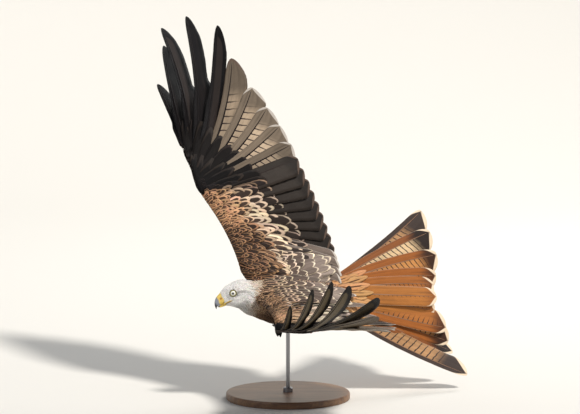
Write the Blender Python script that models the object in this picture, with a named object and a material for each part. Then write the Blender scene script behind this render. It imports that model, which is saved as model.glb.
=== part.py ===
"""Red kite, a fork-tailed bird of prey, life size, banking in a glide on a plain display stand.

Lengths are metres and angles are degrees. The origin is the centre of the stand's underside. The body has
axes of its own from the trunk's centre: fore (to the bill), right (to the bird's right) and dorsal (out of its
back).
"""

import math

import bmesh
import bpy
from mathutils import Vector

# Where the bird is and how it flies
TRUNK_CENTRE = Vector((0.0, 0.0, 0.225))
BODY_HEADING, BODY_CLIMB, BODY_BANK = 22.0, 4.0, 30.0
HEAD_HEADING, HEAD_CLIMB, HEAD_BANK = 6.6, -23.0, 2.0
HEAD_PLACE = (0.137, 0.0, 0.016)
NECK_REACH = 0.008

# Clearances and facets
GAP = 0.0003
TRUNK_GAP = 0.0005
BODY_SIDES = 24
BILL_SIDES = 12
LIMB_SIDES = 8
TOE_SIDES = 6

# Stand
BASE_RADIUS, BASE_HEIGHT, BASE_EDGE, BASE_FOOT = 0.140, 0.016, 0.004, 0.0016
ROD_RADIUS, COLLAR_RADIUS, COLLAR_HEIGHT, COLLAR_BEVEL = 0.0045, 0.011, 0.010, 0.002
ROD_STOP = 0.03  # below the trunk's centre, inside the trunk, which trims the rod

# Trunk sections: fore, half width, top, bottom
TRUNK_SECTIONS = (
    (0.095, 0.041, 0.052, -0.037),
    (0.070, 0.051, 0.056, -0.047),
    (0.040, 0.058, 0.059, -0.055),
    (0.005, 0.061, 0.060, -0.059),
    (-0.030, 0.059, 0.058, -0.057),
    (-0.060, 0.053, 0.054, -0.050),
    (-0.090, 0.043, 0.048, -0.040),
    (-0.112, 0.034, 0.041, -0.029),
    (-0.126, 0.028, 0.036, -0.021),
)
# Head and bill sections, from the nape to the tip: top (fore, up), bottom (fore, up), half width
HEAD_SECTIONS = (
    ((-0.0300, 0.0275), (0.0030, -0.0365), 0.0245),
    ((-0.0120, 0.0270), (0.0125, -0.0280), 0.0222),
    ((0.0020, 0.0262), (0.0170, -0.0240), 0.0196),
    ((0.0100, 0.0245), (0.0205, -0.0218), 0.0170),
    ((0.0170, 0.0218), (0.0240, -0.0198), 0.0144),
    ((0.0230, 0.0180), (0.0272, -0.0182), 0.0116),
    ((0.0286, 0.0128), (0.0293, -0.0176), 0.0092),
)
BILL_UPPER_SECTIONS = (
    ((0.0290, 0.0120), (0.0295, -0.0119), 0.0088),
    ((0.0340, 0.0100), (0.0340, -0.0119), 0.0078),
    ((0.0390, 0.0070), (0.0380, -0.0117), 0.0063),
    ((0.0435, 0.0025), (0.0415, -0.0113), 0.0046),
    ((0.0468, -0.0035), (0.0437, -0.0116), 0.0032),
    ((0.0484, -0.0100), (0.0452, -0.0130), 0.0019),
    ((0.0483, -0.0156), (0.0473, -0.0162), 0.0006),
)
BILL_LOWER_SECTIONS = (
    ((0.0297, -0.0124), (0.0297, -0.0173), 0.0078),
    ((0.0340, -0.0123), (0.0340, -0.0172), 0.0064),
    ((0.0390, -0.0122), (0.0385, -0.0162), 0.0044),
    ((0.0425, -0.0124), (0.0420, -0.0139), 0.0018),
)
EYE_RADIUS, EYE_FORE, EYE_UP, EYE_OUT = 0.0095, -0.0007, 0.0056, 0.0139

SHOULDER = (0.055, 0.035, 0.032)
# Flight feathers, outermost first. Primaries have their feet along the hand, secondaries along the forearm
# and tertials along the upper arm.
PRIMARY_LENGTHS = (0.265, 0.372, 0.405, 0.408, 0.390, 0.345, 0.305, 0.280, 0.265, 0.255)
PRIMARY_SEATS = (1.00, 0.90, 0.78, 0.66, 0.54, 0.44, 0.34, 0.25, 0.16, 0.08)
SECONDARY_COUNT, SECONDARY_SEATS = 9, (0.05, 0.98)
SECONDARY_LENGTHS = (0.240, 0.220)
SECONDARY_SWEEPS = (74.0, 88.0)
SECONDARY_DROOP = 8.0
TERTIAL_LENGTHS = (0.212, 0.206, 0.200, 0.190)
TERTIAL_SEATS = (0.08, 0.22, 0.48, 0.72)
TERTIAL_ARCH = 24.0
# The two wings. A bone is (fore, outward, dorsal) from the joint before it, and the root is where the leading
# edge meets the body. Sweep is a feather's turn back from straight outward, and rise its turn up from the
# body's plane. A primary has both at its foot and at its tip. Of the secondaries the first and the last have a
# rise.
RIGHT_WING = {
    "side": 1,
    "elbow": (0.005, 0.108, 0.033),
    "wrist": (0.106, 0.074, 0.066),
    "hand": (0.023, 0.103, 0.038),
    "root": (0.112, 0.032, 0.043),
    "primary_sweeps": (
        (-2, 4), (1, 9), (13, -8), (21, -6), (27, 8), (39, 12), (47, 27), (56, 38), (61, 52), (66, 67)
    ),
    "primary_rises": (
        (5, -5), (7, 8), (13, 14), (16, 30), (16, 39), (15, 28), (13, 24), (12, 24), (12, 21), (14, 14)
    ),
    "secondary_rises": (15.0, -9.5),
    "tertial_sweeps": (96.0, 102.0, 106.0, 105.0),
    "tertial_rises": (-9.0, -6.5, -4.0, -2.0),
}
LEFT_WING = {
    "side": -1,
    "elbow": (-0.018, 0.109, 0.044),
    "wrist": (0.087, 0.100, 0.039),
    "hand": (0.044, 0.084, 0.059),
    "root": (0.095, 0.040, 0.025),
    "primary_sweeps": (
        (-21, -32), (-10, -28), (-2, -21), (6, -11), (14, 16),
        (22, 15), (34, 25), (46, 40), (56, 52), (65, 64),
    ),
    "primary_rises": (
        (36, 59), (35, 67), (34, 72), (32, 72), (33, 63), (35, 49), (35, 34), (31, 30), (28, 24), (25, 18)
    ),
    "secondary_rises": (15.0, -7.0),
    "tertial_sweeps": (98.0, 105.0, 109.0, 106.0),
    "tertial_rises": (-9.0, -7.0, -4.5, -2.5),
}
# Where the wing's inner edge is seated in the trunk, behind the leading edge, which WING_ROOT_DEPTH sinks in
WING_ROOT_DEPTH = (-0.006, -0.016, -0.006)
WING_SEAT = (
    (0.080, 0.022, 0.040),
    (0.045, 0.030, 0.045),
    (0.000, 0.032, 0.046),
    (-0.045, 0.028, 0.044),
    (-0.085, 0.020, 0.038),
)
INNER_VANE = (-0.002, -0.009, 0.002)

# Tail feathers from the outer right to the outer left, with their turns at the foot and at the tip
TAIL_ROOT = (-0.088, 0.0, 0.014)
TAIL_TWIST = 25.0
TAIL_FOOT_SPREAD, TAIL_ROOT_WIDTH, TAIL_ROOT_LIP = 0.038, 0.044, 0.002
TAIL_LENGTHS = (0.384, 0.363, 0.342, 0.323, 0.305, 0.292)
TAIL_YAWS = (
    (32, 42), (33, 27), (27, 17), (22, 11), (17, 10), (8, 5),
    (5, 5), (3, 7), (-3, 1), (-5, 1), (-9, 2), (-20, -12),
)
TAIL_RISES = (
    (7, 8), (8, 1), (5, -3), (2, -10), (-1, -11), (-8, -6),
    (-10, -11), (-13, -13), (-17, -11), (-18, -18), (-18, -23), (-24, -14),
)

# Feather sheets: places along a feather, the sheet's thickness there, and how far each feather is joined to
# the next. The tail's root is rounded from side to side, down to a share of its thickness at the edges.
BEFORE_FOOT = -1.0  # the station of a row that lies ahead of the foot
HAND_STATIONS = (0.0, 0.2, 0.4, 0.55, 0.7, 0.82, 0.93, 1.0)
ARM_STATIONS = (0.0, 0.25, 0.5, 0.75, 0.92, 1.0)
TAIL_STATIONS = (0.20, 0.32, 0.50, 0.68, 0.82, 0.93, 1.0)
HAND_THICKNESS = (0.005, 0.011, 0.013, 0.006, 0.003, 0.0016, 0.0015, 0.0014, 0.0013, 0.0012)
ARM_THICKNESS = (0.006, 0.017, 0.019, 0.009, 0.0035, 0.0018, 0.0014, 0.0012)
TAIL_THICKNESS = (0.030, 0.022, 0.011, 0.0045, 0.0020, 0.0014, 0.0012, 0.0012)
TAIL_EDGE_SHARE = 0.25
HAND_JOINED = (0.40, 0.55, 0.55, 0.55, 0.82, 0.82, 0.93, 0.93, 0.93)
ARM_JOINED = (0.92,) * 12
TAIL_JOINED = (0.82, 0.82, 0.93, 0.93, 0.93, 0.93, 0.93, 0.93, 0.93, 0.82, 0.82)
PRIMARY_WIDTHS = (0.026, 0.030, 0.035, 0.038, 0.040, 0.046, 0.046, 0.046, 0.044, 0.042)
PRIMARY_LEADS = (0.25, 0.22, 0.20, 0.20, 0.22, 0.30, 0.32, 0.34, 0.36, 0.38)
SECONDARY_WIDTH, SECONDARY_LEAD = 0.042, 0.40
TAIL_WIDTH, TAIL_LEAD = 0.044, 0.36
# How much of its width a vane has at a station, and of the space to the next shaft it may fill
NARROWING = {0.0: 0.35, 0.82: 0.96, 0.92: 0.80, 0.93: 0.80, 1.0: 0.32}
SPACING_SHARE, TIP_SPACING_SHARE = 0.46, 0.24
LEADING_EDGE_REACH = (0.013, 0.004)
LEADING_EDGE_STEP = 0.03
PATAGIUM_HOLLOW = 0.026

# Legs, as (fore, outward, dorsal) from the trunk's centre, folded back under the tail
LEG_PATH = (
    (-0.010, 0.026, -0.028),
    (-0.034, 0.029, -0.042),
    (-0.058, 0.030, -0.049),
    (-0.082, 0.029, -0.048),
    (-0.106, 0.025, -0.042),
)
LEG_RADII = (0.010, 0.016, 0.0175, 0.015, 0.0085)
TARSUS_END = (-0.146, 0.021, -0.041)
TARSUS_RADII = (0.0048, 0.0043, 0.0055)
TOE_RADII = (0.0040, 0.0040, 0.0037, 0.0036, 0.0034, 0.0032)
CLAW_RADII = (0.0024, 0.0020, 0.0015, 0.0009, 0.0003)
CLAW_LENGTH = 0.016
TOE_LENGTHS = {"inner": 0.024, "middle": 0.034, "outer": 0.026, "hind": 0.017}
TOE_SPREADS = {"inner": -26.0, "middle": 0.0, "outer": 26.0, "hind": 180.0}
TOE_LIFT, HIND_TOE_DROP, TOE_OVERLAP = 0.30, 0.6, 0.004
TOE_BEND, CLAW_BEND = 65.0, 60.0


def turned_axes(heading, climb, bank):
    """Fore, right and dorsal directions of a body that starts level and facing -X."""
    heading, climb, bank = map(math.radians, (heading, climb, bank))
    ahead = math.cos(climb)
    fore = Vector((-math.cos(heading) * ahead, -math.sin(heading) * ahead, math.sin(climb)))
    level = fore.cross(Vector((0.0, 0.0, 1.0))).normalized()
    plumb = level.cross(fore)
    right = level * math.cos(bank) + plumb * math.sin(bank)
    return fore, right, plumb * math.cos(bank) - level * math.sin(bank)


FORE, RIGHT, DORSAL = turned_axes(BODY_HEADING, BODY_CLIMB, BODY_BANK)
HEAD_FORE, HEAD_RIGHT, HEAD_UP = turned_axes(HEAD_HEADING, HEAD_CLIMB, HEAD_BANK)


def along(vector, side=1):
    """A direction given as fore, outward, dorsal on one side of the bird."""
    return FORE * vector[0] + RIGHT * vector[1] * side + DORSAL * vector[2]


def at(place, side=1):
    return TRUNK_CENTRE + along(place, side)


HEAD_CENTRE = at(HEAD_PLACE)


def in_head(fore, up, side=0.0):
    return HEAD_CENTRE + HEAD_FORE * fore + HEAD_RIGHT * side + HEAD_UP * up


def plain_material(name, colour, roughness, metallic=0.0):
    material = bpy.data.materials.new(name)
    material.use_nodes = True
    shader = material.node_tree.nodes["Principled BSDF"]
    shader.inputs["Base Color"].default_value = (*colour, 1.0)
    shader.inputs["Roughness"].default_value = roughness
    shader.inputs["Metallic"].default_value = metallic
    return material


def finish(name, bm, material):
    """Turns a bmesh into a named object with outward faces."""
    bmesh.ops.recalc_face_normals(bm, faces=bm.faces)
    mesh = bpy.data.meshes.new(name)
    bm.to_mesh(mesh)
    bm.free()
    mesh.shade_smooth()
    mesh.materials.append(material)
    obj = bpy.data.objects.new(name, mesh)
    bpy.context.collection.objects.link(obj)
    return obj


def as_guide(obj):
    obj.hide_render = True
    obj.display_type = "WIRE"
    return obj


def boolean(obj, other, operation):
    modifier = obj.modifiers.new(operation.title(), "BOOLEAN")
    modifier.operation = operation
    modifier.solver = "EXACT"
    modifier.object = other


def loft(name, rings, material):
    """A closed solid through rings of points, with flat ends."""
    bm = bmesh.new()
    loops = []
    for ring in rings:
        at_end = ring is rings[0] or ring is rings[-1]
        loop = bmesh.ops.create_circle(bm, cap_ends=at_end, segments=len(ring), radius=1.0)
        for vert, point in zip(loop["verts"], ring):
            vert.co = point
        loops.append([edge for edge in bm.edges if all(vert in loop["verts"] for vert in edge.verts)])
    for near, far in zip(loops, loops[1:]):
        bmesh.ops.bridge_loops(bm, edges=near + far)
    return finish(name, bm, material)


def oval(top, bottom, sideways, sides):
    """Ring of points between a top and a bottom point, with a half-width vector."""
    centre, upward = (top + bottom) / 2, (top - bottom) / 2
    turns = [math.tau * i / sides for i in range(sides)]
    return [centre + sideways * math.cos(turn) + upward * math.sin(turn) for turn in turns]


def trunk_rings(grow=0.0):
    rings = []
    for fore, half_width, top, bottom in TRUNK_SECTIONS:
        ends = at((fore, 0, top + grow)), at((fore, 0, bottom - grow))
        rings.append(oval(*ends, RIGHT * (half_width + grow), BODY_SIDES))
    return rings


def head_rings(sections, sides, grow=0.0):
    rings = []
    for (top_fore, top), (bottom_fore, bottom), half_width in sections:
        ends = in_head(top_fore, top + grow), in_head(bottom_fore, bottom - grow)
        rings.append(oval(*ends, HEAD_RIGHT * (half_width + grow), sides))
    return rings


def neck_rings(grow=0.0):
    """Rings that leave the trunk along the body and meet the head along the head."""
    start, behind = trunk_rings(grow)[:2]
    end, ahead = head_rings(HEAD_SECTIONS, BODY_SIDES, grow)[:2]
    rings = []
    for t in (0.0, 0.25, 0.5, 0.75, 1.0):
        ring = []
        for a, before, b, after in zip(start, behind, end, ahead):
            leave, meet = (a - before).normalized() * NECK_REACH, (b - after).normalized() * NECK_REACH
            a, b = a + FORE * GAP, b - HEAD_FORE * GAP
            leave, meet = a + leave, b + meet
            near, far = a * (1 - t) + leave * 3 * t, meet * 3 * (1 - t) + b * t
            ring.append(near * (1 - t) ** 2 + far * t**2)
        rings.append(ring)
    return rings


def ball(name, centre, radius, material):
    bm = bmesh.new()
    bmesh.ops.create_icosphere(bm, subdivisions=2, radius=radius)
    bmesh.ops.translate(bm, vec=centre, verts=bm.verts)
    return finish(name, bm, material)


def blend(ends, t):
    return ends[0] + (ends[1] - ends[0]) * t


def shaft_direction(sweep, rise, side):
    sweep, rise = math.radians(sweep), math.radians(rise)
    return along((-math.sin(sweep) * math.cos(rise), math.cos(sweep) * math.cos(rise), math.sin(rise)), side)


def feather_path(foot, length, sweeps, rises, stations, side, steps=24):
    """Points and directions along a shaft whose sweep and rise change evenly from foot to tip."""
    place, places = foot.copy(), [foot.copy()]
    for step in range(steps):
        t = (step + 0.5) / steps
        place = place + shaft_direction(blend(sweeps, t), blend(rises, t), side) * (length / steps)
        places.append(place.copy())
    points = []
    for station in stations:
        spot = station * steps
        low = min(int(spot), steps - 1)
        points.append(places[low].lerp(places[low + 1], spot - low))
    directions = [shaft_direction(blend(sweeps, s), blend(rises, s), side) for s in stations]
    return points, directions


def vanes(points, directions, dorsal, width, lead, stations, side):
    """Edges of a feather: its leading and trailing edge beside each point of the shaft."""
    leading, trailing = [], []
    for point, direction, station in zip(points, directions, stations):
        across = direction.cross(dorsal).normalized() * -side
        wide = width * NARROWING.get(station, 1.0)
        leading.append(point + across * wide * lead)
        trailing.append(point - across * wide * (1 - lead))
    return leading, trailing


def distance_to_line(point, line):
    """How far a point is from the nearest stretch of a bent line."""
    nearest = math.inf
    for a, b in zip(line, line[1:]):
        stretch = b - a
        t = min(max((point - a).dot(stretch) / max(stretch.length_squared, 1e-12), 0.0), 1.0)
        nearest = min(nearest, (point - a - stretch * t).length)
    return nearest


def sheet_columns(feathers, joined, stations):
    """For each feather its leading, shaft and trailing points, and how many rows it shares with the next one.

    Beyond the joined rows each vane keeps to its side of the space between two shafts.
    """
    columns = []
    for feather in feathers:
        columns.append([list(feather["lead"]), list(feather["shaft"]), list(feather["trail"])])
    for i, column in enumerate(columns):
        for edge, other in ((0, i - 1), (2, i + 1)):
            if not 0 <= other < len(columns):
                continue
            for k, station in enumerate(stations):
                if station > 0:
                    share = SPACING_SHARE if station < 1 else TIP_SPACING_SHARE
                    most = share * distance_to_line(column[1][k], columns[other][1][2:])
                    vane = column[edge][k] - column[1][k]
                    if vane.length > most:
                        column[edge][k] = column[1][k] + vane.normalized() * most
    shared = []
    for i, last in enumerate(joined):
        rows = [k for k, station in enumerate(stations) if station <= last + 1e-6]
        for k in rows:
            middle = (columns[i][1][k] + columns[i + 1][1][k]) / 2
            columns[i][2][k] = middle
            columns[i + 1][0][k] = middle.copy()
        shared.append(len(rows))
    return columns, shared


def sheet_mesh(columns, shared):
    """Points, triangles and each feather's point numbers, where neighbours share their joined edges."""
    points, numbers, faces = [], [], []

    def number(point):
        points.append(point)
        return len(points) - 1

    for i, column in enumerate(columns):
        own = [[], [], []]
        for k in range(len(column[1])):
            together = i > 0 and k < shared[i - 1]
            own[0].append(numbers[i - 1][2][k] if together else number(column[0][k]))
            own[1].append(number(column[1][k]))
            own[2].append(number(column[2][k]))
        numbers.append(own)
        for a, b in ((own[0], own[1]), (own[1], own[2])):
            for k in range(len(a) - 1):
                faces.append((a[k], b[k], b[k + 1]))
                faces.append((a[k], b[k + 1], a[k + 1]))
    return points, faces, numbers


def point_normals(points, faces, dorsal):
    normals = [Vector() for _ in points]
    for a, b, c in faces:
        normal = (points[b] - points[a]).cross(points[c] - points[a])
        for corner in (a, b, c):
            normals[corner] += normal
    turned = sum((normal.dot(dorsal) for normal in normals)) < 0
    return [(-normal if turned else normal).normalized() for normal in normals]


def thick_sheet(name, sheet, material):
    """The closed solid of a sheet, with each point moved half its thickness to either side."""
    bm = bmesh.new()
    faces = sheet["faces"]
    layers = list(zip(sheet["points"], sheet["normals"], sheet["halves"]))
    upper = [bm.verts.new(point + normal * half) for point, normal, half in layers]
    lower = [bm.verts.new(point - normal * half) for point, normal, half in layers]
    rim = set()
    for face in faces:
        bm.faces.new([upper[i] for i in face])
        bm.faces.new([lower[i] for i in reversed(face)])
        for i in range(3):
            edge = (face[i], face[(i + 1) % 3])
            if (edge[1], edge[0]) in rim:
                rim.remove((edge[1], edge[0]))
            else:
                rim.add(edge)
    for a, b in sorted(rim):
        bm.faces.new((upper[b], upper[a], lower[a], lower[b]))
    return finish(name, bm, material)


def wing_joints(plan):
    side = plan["side"]
    shoulder = at(SHOULDER, side)
    elbow = shoulder + along(plan["elbow"], side)
    wrist = elbow + along(plan["wrist"], side)
    return shoulder, elbow, wrist, wrist + along(plan["hand"], side)


def upper_side(start, end, side):
    """The way the wing's upper surface faces along a bone."""
    return ((end - start).cross(FORE) * side).normalized()


def hand_feathers(plan):
    """The ten primaries, with two rows of points ahead of their feet that reach the leading edge."""
    _, _, wrist, tip = wing_joints(plan)
    side = plan["side"]
    dorsal = upper_side(wrist, tip, side)
    forward = dorsal.cross(tip - wrist).normalized() * side
    step = (tip - wrist) * LEADING_EDGE_STEP
    feathers = []
    for i, length in enumerate(PRIMARY_LENGTHS):
        foot = wrist.lerp(tip, PRIMARY_SEATS[i])
        turns = plan["primary_sweeps"][i], plan["primary_rises"][i]
        points, directions = feather_path(foot, length, *turns, HAND_STATIONS, side)
        shape = PRIMARY_WIDTHS[i], PRIMARY_LEADS[i]
        lead, trail = vanes(points, directions, dorsal, *shape, HAND_STATIONS, side)
        front = foot + forward * blend(LEADING_EDGE_REACH, PRIMARY_SEATS[i])
        middle = foot.lerp(front, 0.5)
        feathers.append(
            {
                "lead": [front + step, middle + step, *lead],
                "shaft": [front, middle, *points],
                "trail": [front - step, middle - step, *trail],
            }
        )
    return feathers


def arm_feathers(plan):
    """The secondaries and tertials, with two rows of points ahead that reach the leading edge."""
    shoulder, elbow, wrist, _ = wing_joints(plan)
    side = plan["side"]
    dorsal = upper_side(shoulder, wrist, side)
    plans = []
    for i in range(SECONDARY_COUNT):
        t = i / (SECONDARY_COUNT - 1)
        rise = blend(plan["secondary_rises"], t)
        rises = (rise + SECONDARY_DROOP / 2, rise - SECONDARY_DROOP / 2)
        sweep = blend(SECONDARY_SWEEPS, t)
        foot = wrist.lerp(elbow, blend(SECONDARY_SEATS, t))
        plans.append((foot, blend(SECONDARY_LENGTHS, t), (sweep, sweep), rises))
    for i, length in enumerate(TERTIAL_LENGTHS):
        arch = TERTIAL_ARCH * (i + 1) / len(TERTIAL_LENGTHS)
        rises = (plan["tertial_rises"][i] + arch / 2, plan["tertial_rises"][i] - arch / 2)
        sweeps = (plan["tertial_sweeps"][i],) * 2
        plans.append((elbow.lerp(shoulder, TERTIAL_SEATS[i]), length, sweeps, rises))
    front_start = wrist + along((LEADING_EDGE_REACH[0], 0, 0), side)
    front_end = at(plan["root"], side)
    front_bend = (front_start + front_end) / 2 - FORE * PATAGIUM_HOLLOW
    feathers = []
    for i, (foot, length, sweeps, rises) in enumerate(plans):
        points, directions = feather_path(foot, length, sweeps, rises, ARM_STATIONS, side)
        lead, trail = vanes(points, directions, dorsal, SECONDARY_WIDTH, SECONDARY_LEAD, ARM_STATIONS, side)
        t = (i + 0.5) / len(plans)
        front = front_start * (1 - t) ** 2 + front_bend * 2 * t * (1 - t) + front_end * t**2
        middle = foot.lerp(front, 0.5)
        feathers.append(
            {
                "lead": [front, middle, *lead],
                "shaft": [front, middle, *points],
                "trail": [front, middle, *trail],
            }
        )
    inner = feathers[-1]
    for k in range(len(inner["trail"])):
        if k == 0:
            inner["trail"][k] = front_end + along(WING_ROOT_DEPTH, side)
        elif k <= len(WING_SEAT):
            inner["trail"][k] = at(WING_SEAT[k - 1], side)
        else:
            inner["trail"][k] = inner["shaft"][k] + along(INNER_VANE, side) * NARROWING[ARM_STATIONS[k - 2]]
    return feathers


def sheet_of(columns, shared, thickness, dorsal):
    """Points, faces, upper-side directions and half thicknesses of a sheet of feathers."""
    points, faces, numbers = sheet_mesh(columns, shared)
    halves = [0.0] * len(points)
    for lines in numbers:
        for line in lines:
            for k, i in enumerate(line):
                halves[i] = thickness[k] / 2
    normals = point_normals(points, faces, dorsal)
    return {"points": points, "faces": faces, "numbers": numbers, "halves": halves, "normals": normals}


def wing(label, plan, cutters, hand_material, arm_material):
    """One wing as two sheets, the hand and the arm, which meet along a line between P1 and S1."""
    shoulder, _, wrist, tip = wing_joints(plan)
    side = plan["side"]
    ahead = (BEFORE_FOOT, BEFORE_FOOT)
    hand_columns, hand_shared = sheet_columns(hand_feathers(plan), HAND_JOINED, (*ahead, *HAND_STATIONS))
    arm_columns, arm_shared = sheet_columns(arm_feathers(plan), ARM_JOINED, (*ahead, *ARM_STATIONS))
    part_edges(hand_columns[-1], arm_columns[0])
    hand = sheet_of(hand_columns, hand_shared, HAND_THICKNESS, upper_side(wrist, tip, side))
    arm = sheet_of(arm_columns, arm_shared, ARM_THICKNESS, upper_side(shoulder, wrist, side))
    match_walls(hand, arm)
    thick_sheet(f"wing_{label}_hand", hand, hand_material)
    inner = thick_sheet(f"wing_{label}_arm", arm, arm_material)
    for cutter in cutters:
        boolean(inner, cutter, "DIFFERENCE")


def part_edges(outer, inner):
    """Moves P1's trailing edge and S1's leading edge to the line midway between their shafts, a gap apart."""
    for edge, shaft, stations in ((outer[2], outer[1], HAND_STATIONS), (inner[0], inner[1], ARM_STATIONS)):
        for k in range(len(edge) - 1):
            if k < 2:
                ends = outer[1][k], inner[1][k]
            else:
                p1 = point_at(outer[1][2:], HAND_STATIONS, stations[k - 2])
                ends = p1, point_at(inner[1][2:], ARM_STATIONS, stations[k - 2])
            middle = (ends[0] + ends[1]) / 2
            edge[k] = middle + (shaft[k] - middle).normalized() * GAP


def point_at(points, stations, station):
    """The point at a share of the length of a shaft that is known at some stations."""
    k = next(k for k in range(1, len(stations)) if station <= stations[k])
    return points[k - 1].lerp(points[k], (station - stations[k - 1]) / (stations[k] - stations[k - 1]))


def match_walls(hand, arm):
    """Gives both sides of the seam one thickness and direction up to the feet, so its walls are parallel."""
    for i, j in list(zip(hand["numbers"][-1][2], arm["numbers"][0][0]))[:3]:
        shared = (hand["normals"][i] + arm["normals"][j]).normalized()
        hand["normals"][i] = arm["normals"][j] = shared
        hand["halves"][i] = arm["halves"][j] = min(hand["halves"][i], arm["halves"][j])


def tail(material):
    """Twelve tail feathers on one sheet, thick at the root where the tail coverts lie over them."""
    twist = math.radians(TAIL_TWIST)
    across = RIGHT * math.cos(twist) + DORSAL * math.sin(twist)
    dorsal = DORSAL * math.cos(twist) - RIGHT * math.sin(twist)
    lengths = (*TAIL_LENGTHS, *reversed(TAIL_LENGTHS))
    fore, _, top, bottom = TRUNK_SECTIONS[-1]
    feathers = []
    for i, length in enumerate(lengths):
        t = i / (len(lengths) - 1)
        foot = at(TAIL_ROOT) + across * TAIL_FOOT_SPREAD * (0.5 - t)
        sweeps = [90 - yaw for yaw in TAIL_YAWS[i]]
        points, directions = feather_path(foot, length, sweeps, TAIL_RISES[i], TAIL_STATIONS, 1)
        outer = TAIL_LEAD if t < 0.5 else 1 - TAIL_LEAD
        lead, trail = vanes(points, directions, dorsal, TAIL_WIDTH, outer, TAIL_STATIONS, 1)
        root = at((fore - GAP, 0, (top + bottom) / 2)) + across * TAIL_ROOT_WIDTH * (0.5 - t)
        feathers.append({"lead": [root, *lead], "shaft": [root, *points], "trail": [root, *trail]})
    feathers[0]["lead"][0] = feathers[0]["shaft"][0] + across * TAIL_ROOT_LIP
    feathers[-1]["trail"][0] = feathers[-1]["shaft"][0] - across * TAIL_ROOT_LIP
    columns, shared = sheet_columns(feathers, TAIL_JOINED, (BEFORE_FOOT, *TAIL_STATIONS))
    sheet = sheet_of(columns, shared, TAIL_THICKNESS, dorsal)
    for f, lines in enumerate(sheet["numbers"]):
        for c, line in enumerate(lines):
            across_tail = 2 * (f + c / 2) / len(feathers) - 1
            rounding = max(math.sqrt(1 - across_tail**2), TAIL_EDGE_SHARE)
            for k in range(3):
                sheet["halves"][line[k]] = TAIL_THICKNESS[k] / 2 * rounding
            sheet["normals"][line[0]] = dorsal
    thick_sheet("tail", sheet, material)


def tube_rings(places, radii, sides, first=None, last=None):
    """Rings round a bent line of points, square to the line or, at its ends, to a direction given."""
    rings = []
    sideways = None
    for i, (place, radius) in enumerate(zip(places, radii)):
        ahead = (places[min(i + 1, len(places) - 1)] - places[max(i - 1, 0)]).normalized()
        ahead = first if first and i == 0 else last if last and i == len(places) - 1 else ahead
        sideways = ahead.cross(DORSAL if sideways is None else sideways.cross(ahead)).normalized()
        upward = sideways.cross(ahead)
        rings.append(oval(place + upward * radius, place - upward * radius, sideways * radius, sides))
    return rings


def bent_line(start, direction, down, length, bend, steps):
    """Points of a line that turns evenly towards a second direction."""
    points, place = [start.copy()], start.copy()
    for i in range(steps):
        turn = math.radians(bend * (i + 0.5) / steps)
        place = place + (direction * math.cos(turn) + down * math.sin(turn)) * (length / steps)
        points.append(place.copy())
    cosine, sine = math.cos(math.radians(bend)), math.sin(math.radians(bend))
    return points, direction * cosine + down * sine, down * cosine - direction * sine


def leg(side, label, cutter, materials):
    """A feathered thigh, a bare foot with four toes curled under it, and their claws."""
    feather_material, skin_material, claw_material = materials
    places = [at(place, side) for place in LEG_PATH]
    heel, end = places[-1], at(TARSUS_END, side)
    ahead = (end - heel).normalized()
    thigh = loft(f"leg_{label}", tube_rings(places, LEG_RADII, 12, last=ahead), feather_material)
    boolean(thigh, cutter, "DIFFERENCE")
    down = (-DORSAL - ahead * -DORSAL.dot(ahead)).normalized()
    out = ahead.cross(down) * side
    start = heel + ahead * GAP
    tarsus_rings = tube_rings([start, start.lerp(end, 0.5), end], TARSUS_RADII, LIMB_SIDES)
    foot = loft(f"foot_{label}", tarsus_rings, skin_material)
    for toe, length in TOE_LENGTHS.items():
        spread = math.radians(TOE_SPREADS[toe])
        forward = (ahead * math.cos(spread) + out * math.sin(spread) - down * TOE_LIFT).normalized()
        curl = down
        if toe == "hind":
            forward, curl = (down * HIND_TOE_DROP - ahead).normalized(), ahead
        curl = (curl - forward * curl.dot(forward)).normalized()
        root = end - ahead * TOE_OVERLAP
        line, tip_direction, tip_curl = bent_line(root, forward, curl, length, TOE_BEND, 5)
        toe_rings = tube_rings(line, TOE_RADII, TOE_SIDES, last=tip_direction)
        part = as_guide(loft(f"guide_{label}_{toe}", toe_rings, skin_material))
        boolean(foot, part, "UNION")
        claw_start = line[-1] + tip_direction * GAP
        claw_line, _, _ = bent_line(claw_start, tip_direction, tip_curl, CLAW_LENGTH, CLAW_BEND, 4)
        claw_rings = tube_rings(claw_line, CLAW_RADII, TOE_SIDES, first=tip_direction)
        loft(f"claw_{label}_{toe}", claw_rings, claw_material)


def lathe(name, outline, sides, material):
    """A solid turned about the vertical through the origin from (radius, height) points."""
    rings = []
    for radius, height in outline:
        turns = [math.tau * i / sides for i in range(sides)]
        rings.append([Vector((radius * math.cos(turn), radius * math.sin(turn), height)) for turn in turns])
    return loft(name, rings, material)


def stand(cutter, wood, steel):
    outline = [(BASE_RADIUS - BASE_FOOT, 0.0), (BASE_RADIUS, BASE_FOOT)]
    for degrees in (0, 30, 60, 90):
        turn = math.radians(degrees)
        inset, drop = BASE_EDGE * (1 - math.cos(turn)), BASE_EDGE * (1 - math.sin(turn))
        outline.append((BASE_RADIUS - inset, BASE_HEIGHT - drop))
    lathe("stand_base", outline, 48, wood)
    low = BASE_HEIGHT + GAP
    outline = (
        (COLLAR_RADIUS, low),
        (COLLAR_RADIUS, low + COLLAR_HEIGHT - COLLAR_BEVEL),
        (COLLAR_RADIUS - COLLAR_BEVEL, low + COLLAR_HEIGHT),
        (ROD_RADIUS, low + COLLAR_HEIGHT),
        (ROD_RADIUS, TRUNK_CENTRE.z - ROD_STOP),
    )
    rod = lathe("stand_rod", outline, 20, steel)
    boolean(rod, cutter, "DIFFERENCE")


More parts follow.
